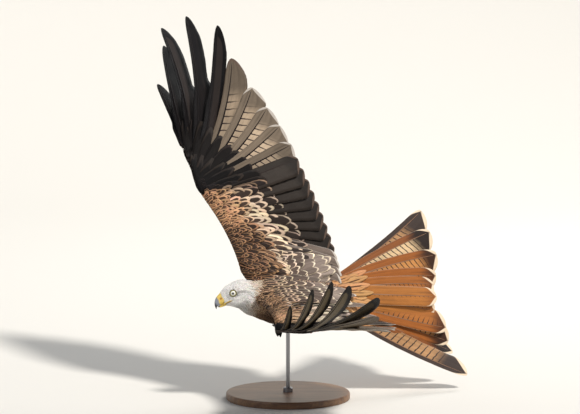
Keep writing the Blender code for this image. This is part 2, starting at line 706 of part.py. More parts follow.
def build():
    for obj in list(bpy.data.objects):
        bpy.data.objects.remove(obj, do_unlink=True)

    brown = plain_material("brown_feathers", (0.16, 0.10, 0.06), 0.75)
    black = plain_material("black_feathers", (0.03, 0.027, 0.025), 0.6)
    rufous = plain_material("rufous_feathers", (0.50, 0.20, 0.07), 0.7)
    grey = plain_material("grey_feathers", (0.62, 0.60, 0.56), 0.8)
    horn = plain_material("horn", (0.06, 0.055, 0.06), 0.35)
    yellow = plain_material("yellow_skin", (0.80, 0.55, 0.06), 0.5)
    iris = plain_material("iris", (0.80, 0.74, 0.50), 0.1)
    wood = plain_material("stand_wood", (0.55, 0.42, 0.28), 0.5)
    steel = plain_material("stand_steel", (0.60, 0.60, 0.60), 0.3, 1.0)

    cutter = as_guide(loft("guide_trunk", trunk_rings(TRUNK_GAP), brown))
    loft("trunk", trunk_rings(), brown)
    loft("neck", neck_rings(), grey)
    neck_cutter = as_guide(loft("guide_neck", neck_rings(TRUNK_GAP), grey))
    head = loft("head", head_rings(HEAD_SECTIONS, BODY_SIDES), grey)
    for label, side in (("right", 1), ("left", -1)):
        centre = in_head(EYE_FORE, EYE_UP, EYE_OUT * side)
        ball(f"eye_{label}", centre, EYE_RADIUS, iris)
        boolean(head, as_guide(ball(f"guide_eye_{label}", centre, EYE_RADIUS + GAP, iris)), "DIFFERENCE")
    loft("bill_upper", head_rings(BILL_UPPER_SECTIONS, BILL_SIDES), horn)
    loft("bill_lower", head_rings(BILL_LOWER_SECTIONS, BILL_SIDES), horn)
    wing("right", RIGHT_WING, (cutter, neck_cutter), black, brown)
    wing("left", LEFT_WING, (cutter, neck_cutter), black, brown)
    tail(rufous)
    for label, side in (("right", 1), ("left", -1)):
        leg(side, label, cutter, (rufous, yellow, horn))
    stand(cutter, wood, steel)


build()
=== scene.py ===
import math

import bmesh
import bpy
import numpy as np
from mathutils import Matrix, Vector
from mathutils.bvhtree import BVHTree


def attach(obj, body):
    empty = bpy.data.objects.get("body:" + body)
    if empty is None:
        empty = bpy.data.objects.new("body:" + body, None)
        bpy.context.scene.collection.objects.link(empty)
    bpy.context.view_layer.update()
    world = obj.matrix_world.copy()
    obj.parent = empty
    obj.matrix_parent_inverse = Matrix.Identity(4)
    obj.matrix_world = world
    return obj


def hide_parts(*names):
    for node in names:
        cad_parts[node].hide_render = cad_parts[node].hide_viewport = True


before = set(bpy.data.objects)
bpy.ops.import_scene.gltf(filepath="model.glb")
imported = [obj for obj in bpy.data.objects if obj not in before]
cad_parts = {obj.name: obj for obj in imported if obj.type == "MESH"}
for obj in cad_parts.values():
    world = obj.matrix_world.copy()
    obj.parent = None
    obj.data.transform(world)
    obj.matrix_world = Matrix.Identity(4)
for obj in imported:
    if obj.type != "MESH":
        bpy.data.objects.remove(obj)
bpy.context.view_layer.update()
dice = np.random.default_rng(7)

# Metres and degrees. The bird's axes are fore, right and dorsal; the head has its own fore, right and up.
pose = {
    "trunkCentre": (0.0, 0.0, 0.225),
    "bodyTurn": (22.0, 4.0, 30.0),  # heading, climb, bank
    "headTurn": (6.6, -23.0, 2.0),
    "headPlace": (0.137, 0.0, 0.016),
}


def spread(share, shape):
    # Factors round 1
    return 1 + dice.normal(0, share, shape)


def unit(vectors):
    return vectors / np.maximum(np.linalg.norm(vectors, axis=-1, keepdims=True), 1e-9)


def ease(low, high, values):
    t = np.clip((np.asarray(values, float) - low) / (high - low), 0, 1)
    return t * t * (3 - 2 * t)


def between(first, second, share):
    return first * (1 - share) + second * share


def calmer(values, axis=0, keep=0.5):
    # All but the first and last, each drawn toward its neighbours
    low, middle, high = (np.take(values, range(k, values.shape[axis] - 2 + k), axis) for k in range(3))
    return middle * keep + (low + high) * (1 - keep) / 2


def extended(knots):
    return np.concatenate((2 * knots[:1] - knots[1:2], knots, 2 * knots[-1:] - knots[-2:-1]))


def splined(knots, low, t):
    # A smooth curve from knot low + 1 to the next
    a, b, c, d = (knots[low + k] for k in range(4))
    return 0.5 * (2 * b + (c - a) * t + (2 * a - 5 * b + 4 * c - d) * t**2 + (3 * b - a - 3 * c + d) * t**3)


def smoothRows(rows, amount):
    # Rows along a smooth curve through all of those given
    rows = np.array(rows, float)
    spot = np.linspace(0, len(rows) - 1, amount)
    low = np.minimum(spot.astype(int), len(rows) - 2)
    return splined(extended(rows), low, (spot - low)[:, None])


def turnedAxes(heading, climb, bank):
    heading, climb, bank = np.radians((heading, climb, bank))
    ahead = math.cos(climb)
    fore = np.array((-math.cos(heading) * ahead, -math.sin(heading) * ahead, math.sin(climb)))
    level = unit(np.cross(fore, (0.0, 0.0, 1.0)))
    plumb = np.cross(level, fore)
    right = level * math.cos(bank) + plumb * math.sin(bank)
    return np.array((fore, right, plumb * math.cos(bank) - level * math.sin(bank)))


bodyAxes = turnedAxes(*pose["bodyTurn"])
headAxes = turnedAxes(*pose["headTurn"])
trunkCentre = np.array(pose["trunkCentre"])


def fromBody(places):
    return trunkCentre + np.asarray(places) @ bodyAxes


def inBody(points):
    return (np.asarray(points) - trunkCentre) @ bodyAxes.T


headCentre = fromBody(pose["headPlace"])
eyeAt = (-0.0007, 0.0056)  # ahead of and above the head's centre


def eyeGap(head):
    # How far places are from the eye, seen from the side
    return np.hypot(head[:, 0] - eyeAt[0], head[:, 2] - eyeAt[1])


def fromHead(places):
    return headCentre + np.asarray(places) @ headAxes


def inHead(points):
    return (np.asarray(points) - headCentre) @ headAxes.T


def paint(red, green, blue):
    # A colour as seen on a screen, 0 to 255, made linear for the shaders
    shares = (np.array((red, green, blue)) / 255 + 0.055) / 1.055
    return shares**2.4


def connect(node, inputs):
    for key, value in inputs.items():
        if isinstance(value, bpy.types.NodeSocket):
            node.id_data.links.new(value, node.inputs[key])
        else:
            node.inputs[key].default_value = value


def addNode(tree, kind, inputs=None, **settings):
    node = tree.nodes.new(kind)
    for name, value in settings.items():
        setattr(node, name, value)
    connect(node, inputs or {})
    return node


def treeOf(*values):
    # The node tree of whichever values are sockets
    return next(value.id_data for value in values if isinstance(value, bpy.types.NodeSocket))


def maths(operation, first, second=0.0, third=0.0):
    tree = treeOf(first, second, third)
    return addNode(tree, "ShaderNodeMath", {0: first, 1: second, 2: third}, operation=operation).outputs[0]


def remap(value, low, high, start=0.0, end=1.0):
    inputs = {"Value": value, "From Min": low, "From Max": high, "To Min": start, "To Max": end}
    return addNode(value.id_data, "ShaderNodeMapRange", inputs, interpolation_type="SMOOTHSTEP").outputs[0]


def mixed(share, first, second, mode="MIX"):
    node = addNode(treeOf(share, first, second), "ShaderNodeMix", data_type="RGBA", blend_type=mode)
    connect(node, {0: share, 6: first, 7: second})
    return node.outputs[2]


def attribute(tree, name):
    return addNode(tree, "ShaderNodeAttribute", attribute_name=name)


def objectPlace(tree):
    return addNode(tree, "ShaderNodeTexCoord").outputs["Object"]


def noise(place, scale, detail, **more):
    inputs = {"Vector": place, "Scale": scale, "Detail": detail, **more}
    return addNode(place.id_data, "ShaderNodeTexNoise", inputs).outputs["Fac"]


def bumped(tree, shader, height, distance, strength=1.0):
    bump = addNode(tree, "ShaderNodeBump", {"Height": height, "Distance": distance, "Strength": strength})
    tree.links.new(bump.outputs[0], shader.inputs["Normal"])


def shaded(tree, shader, colour, tone):
    # The surface's colour, made darker or lighter by a tone round 1
    grey = addNode(tree, "ShaderNodeCombineColor", {0: tone, 1: tone, 2: tone}).outputs[0]
    tree.links.new(mixed(1.0, colour, grey, "MULTIPLY"), shader.inputs["Base Color"])


def newGroup(name, inputs, outputs):
    tree = bpy.data.node_groups.new(name, "ShaderNodeTree")
    for socketName, kind, value in inputs:
        socket = tree.interface.new_socket(socketName, in_out="INPUT", socket_type="NodeSocket" + kind)
        if value is not None:
            socket.default_value = value
    for socketName, kind in outputs:
        tree.interface.new_socket(socketName, in_out="OUTPUT", socket_type="NodeSocket" + kind)
    return tree, tree.nodes.new("NodeGroupInput"), tree.nodes.new("NodeGroupOutput")


def newMaterial(name, **settings):
    material = bpy.data.materials.new(name)
    material.use_nodes = True
    shader = material.node_tree.nodes["Principled BSDF"]
    for key, value in settings.items():
        socket = shader.inputs[key.replace("_", " ")]
        socket.default_value = (*value, 1.0) if hasattr(value, "__len__") else value
    return material, material.node_tree, shader


def barbGroup():
    # Fine slanted barbs of a vane, as a tone round 1 and a height
    inputs = (("Vane", "Vector", None), ("Count", "Float", 40.0), ("Slant", "Float", 6.0),
              ("Contrast", "Float", 0.2))
    tree, given, out = newGroup("barbs", inputs, (("Tone", "Float"), ("Height", "Float")))
    parts = addNode(tree, "ShaderNodeSeparateXYZ", {0: given.outputs["Vane"]})
    across = maths("ABSOLUTE", maths("MULTIPLY_ADD", parts.outputs[0], 2.0, -1.0))
    slanted = maths("MULTIPLY", across, given.outputs["Slant"])
    run = maths("SUBTRACT", maths("MULTIPLY", parts.outputs[1], given.outputs["Count"]), slanted)
    spot = addNode(tree, "ShaderNodeCombineXYZ", {0: run, 1: maths("MULTIPLY", parts.outputs[0], 3.0)})
    streaks = noise(spot.outputs[0], 1.3, 3.0)
    wave = maths("SINE", maths("MULTIPLY", run, math.tau))
    height = maths("MULTIPLY_ADD", wave, 0.25, streaks)
    tone = maths("MULTIPLY", maths("SUBTRACT", height, 0.5), given.outputs["Contrast"])
    tree.links.new(maths("ADD", tone, 1.0), out.inputs["Tone"])
    tree.links.new(height, out.inputs["Height"])
    return tree


def mottleGroup():
    # Soft uneven tone over the whole bird, in object space
    inputs = (("Scale", "Float", 60.0), ("Amount", "Float", 0.2))
    tree, given, out = newGroup("mottle", inputs, (("Tone", "Float"),))
    uneven = maths("SUBTRACT", noise(objectPlace(tree), given.outputs["Scale"], 4.0), 0.5)
    shift = maths("MULTIPLY", uneven, given.outputs["Amount"])
    tree.links.new(maths("ADD", shift, 1.0), out.inputs["Tone"])
    return tree


barbs = barbGroup()
mottle = mottleGroup()


def vaneCoordinates(tree):
    vane = addNode(tree, "ShaderNodeUVMap", uv_map="vane").outputs[0]
    parts = addNode(tree, "ShaderNodeSeparateXYZ", {0: vane})
    signed = maths("MULTIPLY_ADD", parts.outputs[0], 2.0, -1.0)
    return vane, signed, maths("ABSOLUTE", signed), parts.outputs[1]


def finishVane(tree, shader, colour, vane, count, slant, contrast):
    fine = addNode(tree, "ShaderNodeGroup", node_tree=barbs)
    tree.links.new(vane, fine.inputs["Vane"])
    for name, value in (("Count", count), ("Slant", slant), ("Contrast", contrast)):
        fine.inputs[name].default_value = value
    uneven = addNode(tree, "ShaderNodeGroup", node_tree=mottle)
    shaded(tree, shader, colour, maths("MULTIPLY", fine.outputs["Tone"], uneven.outputs["Tone"]))
    bumped(tree, shader, fine.outputs["Height"], 0.0003, 0.6)


def plumeMaterial():
    # Body feathers: a dark centre, as wide as the dark colour's alpha, and a light border
    material, tree, shader = newMaterial("bodyPlumes", Roughness=0.72, Specular_IOR_Level=0.08,
                                         Sheen_Weight=0.02, Sheen_Roughness=0.5)
    vane, _, across, along = vaneCoordinates(tree)
    dark, light = attribute(tree, "plumeDark"), attribute(tree, "plumeLight")
    near = maths("MAXIMUM", maths("MULTIPLY_ADD", along, 3.4, -2.4), 0.0)
    tip = maths("POWER", near, 3.0)
    reach = maths("POWER", maths("ADD", maths("MULTIPLY", across, across), tip), 0.5)
    wide = dark.outputs["Alpha"]
    border = maths("SUBTRACT", reach, wide)
    lightShare = remap(border, -0.07, 0.09)
    colour = mixed(lightShare, dark.outputs["Color"], light.outputs["Color"])
    shaft = remap(across, 0.03, 0.1, 0.55, 0.0)
    colour = mixed(shaft, colour, mixed(0.5, dark.outputs["Color"], (0.01, 0.008, 0.006, 1.0)))
    finishVane(tree, shader, colour, vane, 34.0, 9.0, 0.4)
    return material


def flightMaterial(name, roughness, sheen, specular):
    # Flight feathers: an outer and an inner web, bars across them, a tip, and a paler underside
    material, tree, shader = newMaterial(name, Roughness=roughness, Specular_IOR_Level=specular,
                                         Sheen_Weight=sheen, Sheen_Roughness=0.4)
    vane, signed, across, along = vaneCoordinates(tree)
    outer, inner = attribute(tree, "webOuter"), attribute(tree, "webInner")
    tip, bar = attribute(tree, "webTip"), attribute(tree, "webBar")
    under, marks = attribute(tree, "webUnder"), attribute(tree, "webMarks")
    side = remap(signed, -0.03, 0.03)
    web = mixed(side, outer.outputs["Color"], inner.outputs["Color"])
    below = attribute(tree, "underside").outputs["Fac"]
    web = mixed(maths("MULTIPLY", below, 0.85), web, under.outputs["Color"])
    marked = addNode(tree, "ShaderNodeSeparateColor", {0: marks.outputs["Color"]})
    wobble = noise(vane, 9.0, 2.0)
    slope = maths("MULTIPLY_ADD", across, -0.01, along)
    turn = maths("MULTIPLY", maths("MULTIPLY_ADD", wobble, 0.012, slope), marked.outputs[2])
    wave = maths("SINE", maths("MULTIPLY", turn, math.tau * 100))
    inside = maths("MULTIPLY", side, marked.outputs[1])
    outside = maths("MULTIPLY", maths("SUBTRACT", 1.0, side), marked.outputs[0])
    strength = maths("ADD", inside, outside)
    # A weak bar is a short tooth beside the shaft, a strong one crosses the web
    missing = maths("MULTIPLY", maths("SUBTRACT", 1.0, strength), across)
    level = maths("MULTIPLY_ADD", missing, -3.2, wave)
    bars = maths("MULTIPLY", remap(level, 0.62, 0.9), remap(strength, 0.0, 0.35))
    web = mixed(bars, web, bar.outputs["Color"])
    start = tip.outputs["Alpha"]
    past = maths("SUBTRACT", maths("MULTIPLY_ADD", wobble, 0.05, along), start)
    web = mixed(remap(past, -0.03, 0.11), web, tip.outputs["Color"])
    longer = addNode(tree, "ShaderNodeVectorMath", {0: vane, 1: (7.0, 1.6, 1.0)}, operation="MULTIPLY")
    clouds = noise(longer.outputs[0], 1.0, 4.0, Roughness=0.6)
    web = mixed(remap(clouds, 0.38, 0.75, 0.0, 0.45), web, (0.02, 0.013, 0.01, 1.0))
    end = remap(along, 0.84, 1.0)
    square = maths("MULTIPLY", across, across)
    rim = maths("POWER", maths("MULTIPLY_ADD", end, end, square), 0.5)
    fringe = remap(maths("SUBTRACT", rim, marks.outputs["Alpha"]), 0.0, 0.06, 0.0, 0.95)
    web = mixed(fringe, web, attribute(tree, "webFringe").outputs["Color"])
    finishVane(tree, shader, web, vane, 190.0, 14.0, 0.35)
    return material


plumeCoat = plumeMaterial()
brownVane = flightMaterial("brownVanes", 0.58, 0.0, 0.14)
blackVane = flightMaterial("blackVanes", 0.48, 0.0, 0.08)
rufousVane = flightMaterial("rufousVanes", 0.58, 0.03, 0.15)


def templateOf(bm):
    # Places and faces of a small shape, to be repeated
    bmesh.ops.recalc_face_normals(bm, faces=bm.faces)
    bm.verts.index_update()
    places = np.array([vert.co[:] for vert in bm.verts])
    faces = [[vert.index for vert in face.verts] for face in bm.faces]
    lowers = np.array([face.normal.z < -0.5 for face in bm.faces])
    bm.free()
    return {"places": places, "corners": np.concatenate(faces), "sizes": np.array([len(f) for f in faces]),
            "lowers": lowers}


def vaneTemplate(rows, columns):
    # A flat sheet with a top, an underside and a rim: along 0 to 1, across -1 to 1, and which layer
    bm = bmesh.new()
    bmesh.ops.create_grid(bm, x_segments=rows, y_segments=columns, size=1.0)
    bmesh.ops.solidify(bm, geom=bm.faces[:], thickness=0.5)
    shape = templateOf(bm)
    heights = shape["places"][:, 2]
    shape["places"][:, 2] = np.where(heights > heights.mean(), 1.0, -1.0)
    shape["places"][:, 0] = shape["places"][:, 0] * 0.5 + 0.5
    return shape


def plumeTemplate(rows, columns):
    # A small feather: a cambered top closed by one strip beneath
    bm = bmesh.new()
    bmesh.ops.create_grid(bm, x_segments=rows, y_segments=columns, size=1.0)
    sides = [e for e in bm.edges if e.is_boundary and abs(abs(e.verts[0].co.y + e.verts[1].co.y) - 2) < 1e-4]
    bmesh.ops.bridge_loops(bm, edges=sides)
    for vert in bm.verts:
        vert.co.z = 0.5 * (1 - vert.co.y**2)
    bmesh.ops.holes_fill(bm, edges=[e for e in bm.edges if e.is_boundary], sides=0)
    shape = templateOf(bm)
    shape["places"][:, 0] = shape["places"][:, 0] * 0.5 + 0.5
    return shape


def tubeTemplate(rows, sides):
    # A closed tube: along 0 to 1 and a unit circle across
    bm = bmesh.new()
    bmesh.ops.create_cone(bm, cap_ends=True, segments=sides, radius1=1.0, radius2=1.0, depth=1.0)
    rungs = [e for e in bm.edges if abs(e.verts[0].co.z - e.verts[1].co.z) > 0.5]
    bmesh.ops.subdivide_edges(bm, edges=rungs, cuts=rows - 1, use_grid_fill=True)
    shape = templateOf(bm)
    places = shape["places"]
    shape["places"] = np.stack((places[:, 2] + 0.5, places[:, 0], places[:, 1]), -1)
    return shape


def repeated(shape, count):
    size = len(shape["places"])
    corners = (shape["corners"][None] + np.arange(count)[:, None] * size).ravel()
    return corners, np.tile(shape["sizes"], count), np.tile(shape["lowers"], count)


def joined(batches):
    # Batches share their keys; corners are shifted as points pile up
    start, corners = 0, []
    for batch in batches:
        corners.append(batch["corners"] + start)
        start += len(batch["points"])
    out = {key: np.concatenate([batch[key] for batch in batches]) for key in batches[0] if key != "corners"}
    return {**out, "corners": np.concatenate(corners)}


def arrayMesh(name, points, corners, sizes):
    mesh = bpy.data.meshes.new(name)
    mesh.vertices.add(len(points))
    mesh.loops.add(len(corners))
    mesh.polygons.add(len(sizes))
    mesh.vertices.foreach_set("co", np.asarray(points, np.float32).ravel())
    mesh.loops.foreach_set("vertex_index", np.asarray(corners, np.int32))
    mesh.polygons.foreach_set("loop_start", np.concatenate(((0,), np.cumsum(sizes)[:-1])).astype(np.int32))
    mesh.update(calc_edges=True)
    return mesh


def meshFrom(bm, name):
    mesh = bpy.data.meshes.new(name)
    bm.to_mesh(mesh)
    bm.free()
    return mesh


def meshPoints(mesh):
    points = np.empty(len(mesh.vertices) * 3, np.float32)
    mesh.vertices.foreach_get("co", points)
    return points.reshape(-1, 3).astype(float)


def opaque(colours):
    return np.hstack((colours, np.ones((len(colours), 1))))


def colourColumn(mesh, name, colours):
    column = mesh.attributes.new(name, "FLOAT_COLOR", "POINT")
    column.data.foreach_set("color", np.asarray(colours, np.float32).ravel())


def linked(name, data):
    obj = bpy.data.objects.new(name, data)
    bpy.context.scene.collection.objects.link(obj)
    return obj


def placed(name, mesh, material, replaced=()):
    mesh.shade_smooth()
    mesh.materials.append(material)
    obj = linked(name, mesh)
    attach(obj, "root")
    if replaced:
        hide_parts(*replaced)
    return obj


def makePiece(name, batch, material, replaced=()):
    # batch: points, corners, sizes, vane and bake (per point), and colour columns named plume.. or web..
    points, corners, sizes = batch["points"], batch["corners"], batch["sizes"]
    mesh = arrayMesh(name, points, corners, sizes)
    for key, uvName in (("vane", "vane"), ("bake", "OFBake")):
        layer = mesh.uv_layers.new(name=uvName)
        layer.data.foreach_set("uv", np.asarray(batch[key][corners], np.float32).ravel())
    for key, values in batch.items():
        if key.startswith(("plume", "web")):
            colourColumn(mesh, key, values)
        elif key == "lowers":
            column = mesh.attributes.new("underside", "FLOAT", "FACE")
            column.data.foreach_set("value", np.asarray(values, np.float32))
    if mesh.validate():
        print("mended", name)
    print(name, len(points), int((sizes - 2).sum()))
    placed(name, mesh, material, replaced)


# Where the wings' feathers grow
wingPlans = {
    "Right": {
        "side": 1,
        "elbow": (0.005, 0.108, 0.033), "wrist": (0.106, 0.074, 0.066), "hand": (0.023, 0.103, 0.038),
        "root": (0.112, 0.032, 0.043),
        "primarySweeps": (
            (-2, 4), (1, 9), (13, -8), (21, -6), (27, 8), (39, 12), (47, 27), (56, 38), (61, 52), (66, 67),
        ),
        "primaryRises": (
            (5, -5), (7, 8), (13, 14), (16, 30), (16, 39), (15, 28), (13, 24), (12, 24), (12, 21), (14, 14),
        ),
        "secondaryRises": (15.0, -9.5),
        "tertialSweeps": (96.0, 102.0, 106.0, 105.0), "tertialRises": (-9.0, -6.5, -4.0, -2.0),
    },
    "Left": {
        "side": -1,
        "elbow": (-0.018, 0.109, 0.044), "wrist": (0.087, 0.1, 0.039), "hand": (0.044, 0.084, 0.059),
        "root": (0.095, 0.04, 0.025),
        "primarySweeps": (
            (-21, -32), (-10, -28), (-2, -21), (6, -11), (14, 16),
            (22, 15), (34, 25), (46, 40), (56, 52), (65, 64),
        ),
        "primaryRises": (
            (36, 59), (35, 67), (34, 72), (32, 72), (33, 63),
            (35, 49), (35, 34), (31, 30), (28, 24), (25, 18),
        ),
        "secondaryRises": (15.0, -7.0),
        "tertialSweeps": (98.0, 105.0, 109.0, 106.0), "tertialRises": (-9.0, -7.0, -4.5, -2.5),
    },
}
# Outermost primary first, then secondaries, then tertials
wingCommon = {
    "shoulder": (0.055, 0.035, 0.032),
    "primaryLengths": (0.265, 0.372, 0.405, 0.408, 0.39, 0.345, 0.305, 0.28, 0.265, 0.255),
    "primarySeats": (1.0, 0.9, 0.78, 0.66, 0.54, 0.44, 0.34, 0.25, 0.16, 0.08),
    "secondaryCount": 9, "secondarySeats": (0.05, 0.98),
    "secondaryLengths": (0.24, 0.22), "secondarySweeps": (74.0, 88.0), "secondaryDroop": 8.0,
    "tertialLengths": (0.212, 0.206, 0.2, 0.19), "tertialSeats": (0.08, 0.22, 0.48, 0.72),
    "tertialArch": 24.0, "edgeReach": (0.013, 0.004), "hollow": 0.026,
    # where the inner edge sits in the body, from the foot's level back
    "seatFront": (0.098, 0.01, 0.034),
    "seat": ((0.045, 0.026, 0.043), (0.0, 0.028, 0.044), (-0.045, 0.025, 0.042), (-0.085, 0.018, 0.037),
             (-0.13, 0.01, 0.03)),
}


def directions(sweeps, rises, side):
    sweeps, rises = np.radians(sweeps), np.radians(rises)
    local = (-np.sin(sweeps) * np.cos(rises), side * np.cos(sweeps) * np.cos(rises), np.sin(rises))
    return np.stack(local, -1) @ bodyAxes


def shaftLine(foot, length, sweeps, rises, side, steps=48):
    t = (np.arange(steps) + 0.5) / steps
    sweeps = sweeps[0] + (sweeps[1] - sweeps[0]) * t
    rises = rises[0] + (rises[1] - rises[0]) * t
    moves = directions(sweeps, rises, side) * length / steps
    return np.vstack((foot, foot + np.cumsum(moves, 0)))


def blend(ends, t):
    return ends[0] + (ends[1] - ends[0]) * t


def alongLine(line, shares):
    # Points at shares of an evenly stepped line, which goes on straight past its ends
    spot = np.asarray(shares, float) * (len(line) - 1)
    low = np.clip(spot.astype(int), 0, len(line) - 2)
    return between(line[low], line[low + 1], (spot - low)[..., None])


def wingShafts(plan):
    side, common = plan["side"], wingCommon
    mirror = np.array((1.0, side, 1.0))
    shoulder = fromBody(common["shoulder"] * mirror)
    elbow = shoulder + (plan["elbow"] * mirror) @ bodyAxes
    wrist = elbow + (plan["wrist"] * mirror) @ bodyAxes
    tip = wrist + (plan["hand"] * mirror) @ bodyAxes
    handUp = unit(np.cross(tip - wrist, bodyAxes[0]) * side)
    armUp = unit(np.cross(wrist - shoulder, bodyAxes[0]) * side)
    forward = unit(np.cross(handUp, tip - wrist)) * side
    lines, fronts, lengths = [], [], []
    for i, length in enumerate(common["primaryLengths"]):
        seat = common["primarySeats"][i]
        foot = wrist + (tip - wrist) * seat
        lines.append(shaftLine(foot, length, plan["primarySweeps"][i], plan["primaryRises"][i], side))
        fronts.append(foot + forward * blend(common["edgeReach"], seat))
        lengths.append(length)
    inner = []
    for i in range(common["secondaryCount"]):
        t = i / (common["secondaryCount"] - 1)
        rise, sweep = blend(plan["secondaryRises"], t), blend(common["secondarySweeps"], t)
        droop = common["secondaryDroop"] / 2
        foot = wrist + (elbow - wrist) * blend(common["secondarySeats"], t)
        length = blend(common["secondaryLengths"], t)
        inner.append((foot, length, (sweep, sweep), (rise + droop, rise - droop)))
    for i, length in enumerate(common["tertialLengths"]):
        arch = common["tertialArch"] * (i + 1) / 8
        rise, sweep = plan["tertialRises"][i], plan["tertialSweeps"][i]
        foot = elbow + (shoulder - elbow) * common["tertialSeats"][i]
        inner.append((foot, length, (sweep, sweep), (rise + arch, rise - arch)))
    start = wrist + bodyAxes[0] * common["edgeReach"][0]
    end = fromBody(plan["root"] * mirror)
    bend = (start + end) / 2 - bodyAxes[0] * common["hollow"]
    for i, (foot, length, sweeps, rises) in enumerate(inner):
        t = (i + 0.5) / len(inner)
        lines.append(shaftLine(foot, length, sweeps, rises, side))
        fronts.append(start * (1 - t) ** 2 + bend * 2 * t * (1 - t) + end * t**2)
        lengths.append(length)
    seat = fromBody(np.array(common["seat"]) * mirror)
    fronts.append(fromBody(np.array(common["seatFront"]) * mirror))
    stations = np.linspace(0, 4, 49)
    lines.append(np.stack([np.interp(stations, range(5), seat[:, k]) for k in range(3)], -1))
    lengths.append(0.19)
    ups = unit(between(handUp, armUp, ease(7, 13, np.arange(len(lines)))[:, None]))
    return {"side": side, "lines": np.array(lines), "fronts": np.array(fronts), "lengths": np.array(lengths),
            "ups": ups}


wings = {label: wingShafts(plan) for label, plan in wingPlans.items()}


def wingMap(wing):
    # The wing's middle surface: across the feathers, and from the front edge to 15 cm behind the feet
    count = len(wing["lines"])
    marks = np.arange(-0.6, count - 0.39, 0.1)
    ahead, behind = np.linspace(1, 0, 13)[:-1], np.arange(0, 0.151, 0.005)
    sheet = []
    for i in range(count):
        foot = wing["lines"][i][0]
        front = foot + (wing["fronts"][i] - foot) * ahead[:, None]
        back = alongLine(wing["lines"][i], behind / wing["lengths"][i])
        sheet.append(np.vstack((front, back)))
    sheet = np.array(sheet)
    spot = marks + 2
    low = np.clip(np.floor(spot).astype(int), 1, count + 1)
    fine = splined(extended(extended(sheet)), low - 1, (spot - low)[:, None, None])
    for _ in range(6):
        fine[1:-1] = calmer(fine)
    acrossStep, alongStep = np.gradient(fine, axis=0), np.gradient(fine, axis=1)
    normals = unit(np.cross(acrossStep, alongStep))
    ups = np.stack([np.interp(marks, np.arange(count), wing["ups"][:, k]) for k in range(3)], -1)
    normals *= np.sign((normals * ups[:, None]).sum(-1, keepdims=True))
    for _ in range(4):
        normals[1:-1] = calmer(normals)
    reach = np.linalg.norm(fine[:, 0] - fine[:, 12], axis=-1)
    wing.update(marks=marks, sheet=fine, normals=unit(normals), reach=reach)


def wingLook(wing, table, across, along):
    # Values of a table at (feather number, metres behind the foot; ahead of it as a share of -1 to 0)
    row = np.clip((across - wing["marks"][0]) / 0.1, 0, len(wing["marks"]) - 1.001)
    column = np.where(along < 0, (along + 1) * 12, 12 + along / 0.005)
    column = np.clip(column, 0, table.shape[1] - 1.001)
    i, j = row.astype(int), column.astype(int)
    s, t = (row - i)[..., None], (column - j)[..., None]
    low, high = (between(table[k, j], table[k, j + 1], t) for k in (i, i + 1))
    return between(low, high, s)


fleshKnots = {
    "spots": (-1.0, -0.93, -0.8, -0.5, -0.15, 0.0, 0.025, 0.055, 0.09, 0.15),
    "arm": (0.0, 0.003, 0.0052, 0.0072, 0.0078, 0.0074, 0.0052, 0.003, 0.0018, 0.0012),
    "hand": (0.0, 0.002, 0.0032, 0.0046, 0.0052, 0.005, 0.0038, 0.0022, 0.0015, 0.0011),
}


def fleshHalf(across, along):
    hand, arm = (np.interp(along, fleshKnots["spots"], fleshKnots[key]) for key in ("hand", "arm"))
    return between(hand, arm, ease(7.5, 12, across))


for wing in wings.values():
    wingMap(wing)

# Where the tail's feathers grow
tailPlan = {
    "root": (-0.088, 0.0, 0.014), "twist": 25.0, "footSpread": 0.038,
    "lengths": (0.384, 0.363, 0.342, 0.323, 0.305, 0.292),
    "yaws": (
        (32, 42), (33, 27), (27, 17), (22, 11), (17, 10), (8, 5),
        (5, 5), (3, 7), (-3, 1), (-5, 1), (-9, 2), (-20, -12),
    ),
    "rises": (
        (7, 8), (8, 1), (5, -3), (2, -10), (-1, -11), (-8, -6),
        (-10, -11), (-13, -13), (-17, -11), (-18, -18), (-18, -23), (-24, -14),
    ),
}
twist = math.radians(tailPlan["twist"])
tailAcross = bodyAxes[1] * math.cos(twist) + bodyAxes[2] * math.sin(twist)
tailUp = bodyAxes[2] * math.cos(twist) - bodyAxes[1] * math.sin(twist)


def tailShafts():
    lengths = (*tailPlan["lengths"], *reversed(tailPlan["lengths"]))
    lines = []
    for i, length in enumerate(lengths):
        foot = fromBody(tailPlan["root"]) + tailAcross * tailPlan["footSpread"] * (0.5 - i / 11)
        yaws = [90 - yaw for yaw in tailPlan["yaws"][i]]
        lines.append(shaftLine(foot, length, yaws, tailPlan["rises"][i], 1))
    return np.array(lines), np.array(lengths)


tailLines, tailLengths = tailShafts()

flightShape = vaneTemplate(88, 10)
quillShape = tubeTemplate(26, 6)


def lineFrames(line, up, shares, twist=0.0):
    # Points, directions, upper sides and sideways directions at shares of a shaft
    points = alongLine(line, shares)
    ahead = unit(alongLine(line, shares + 0.01) - alongLine(line, shares - 0.01))
    if up.ndim > 1:
        up = alongLine(up, shares)
    upper = unit(up - ahead * (ahead * up).sum(-1, keepdims=True))
    turn = (math.radians(twist) * ease(0.1, 0.5, shares))[..., None]
    upper = upper * np.cos(turn) + np.cross(upper, ahead) * np.sin(turn)
    return points, ahead, upper, np.cross(upper, ahead)


def spots(across, along):
    # Places in a feather's own coordinates, or in the image that a piece is baked to
    return np.stack(np.broadcast_arrays(across, along), -1)


def webBatch(shape, points, vane, bake, looks):
    corners, sizes, lowers = repeated(shape, 1)
    shared = {"corners": corners, "sizes": sizes, "lowers": lowers, "vane": vane, "bake": bake}
    return {"points": points, **shared, **{key: np.tile(looks[key], (len(points), 1)) for key in webKeys}}


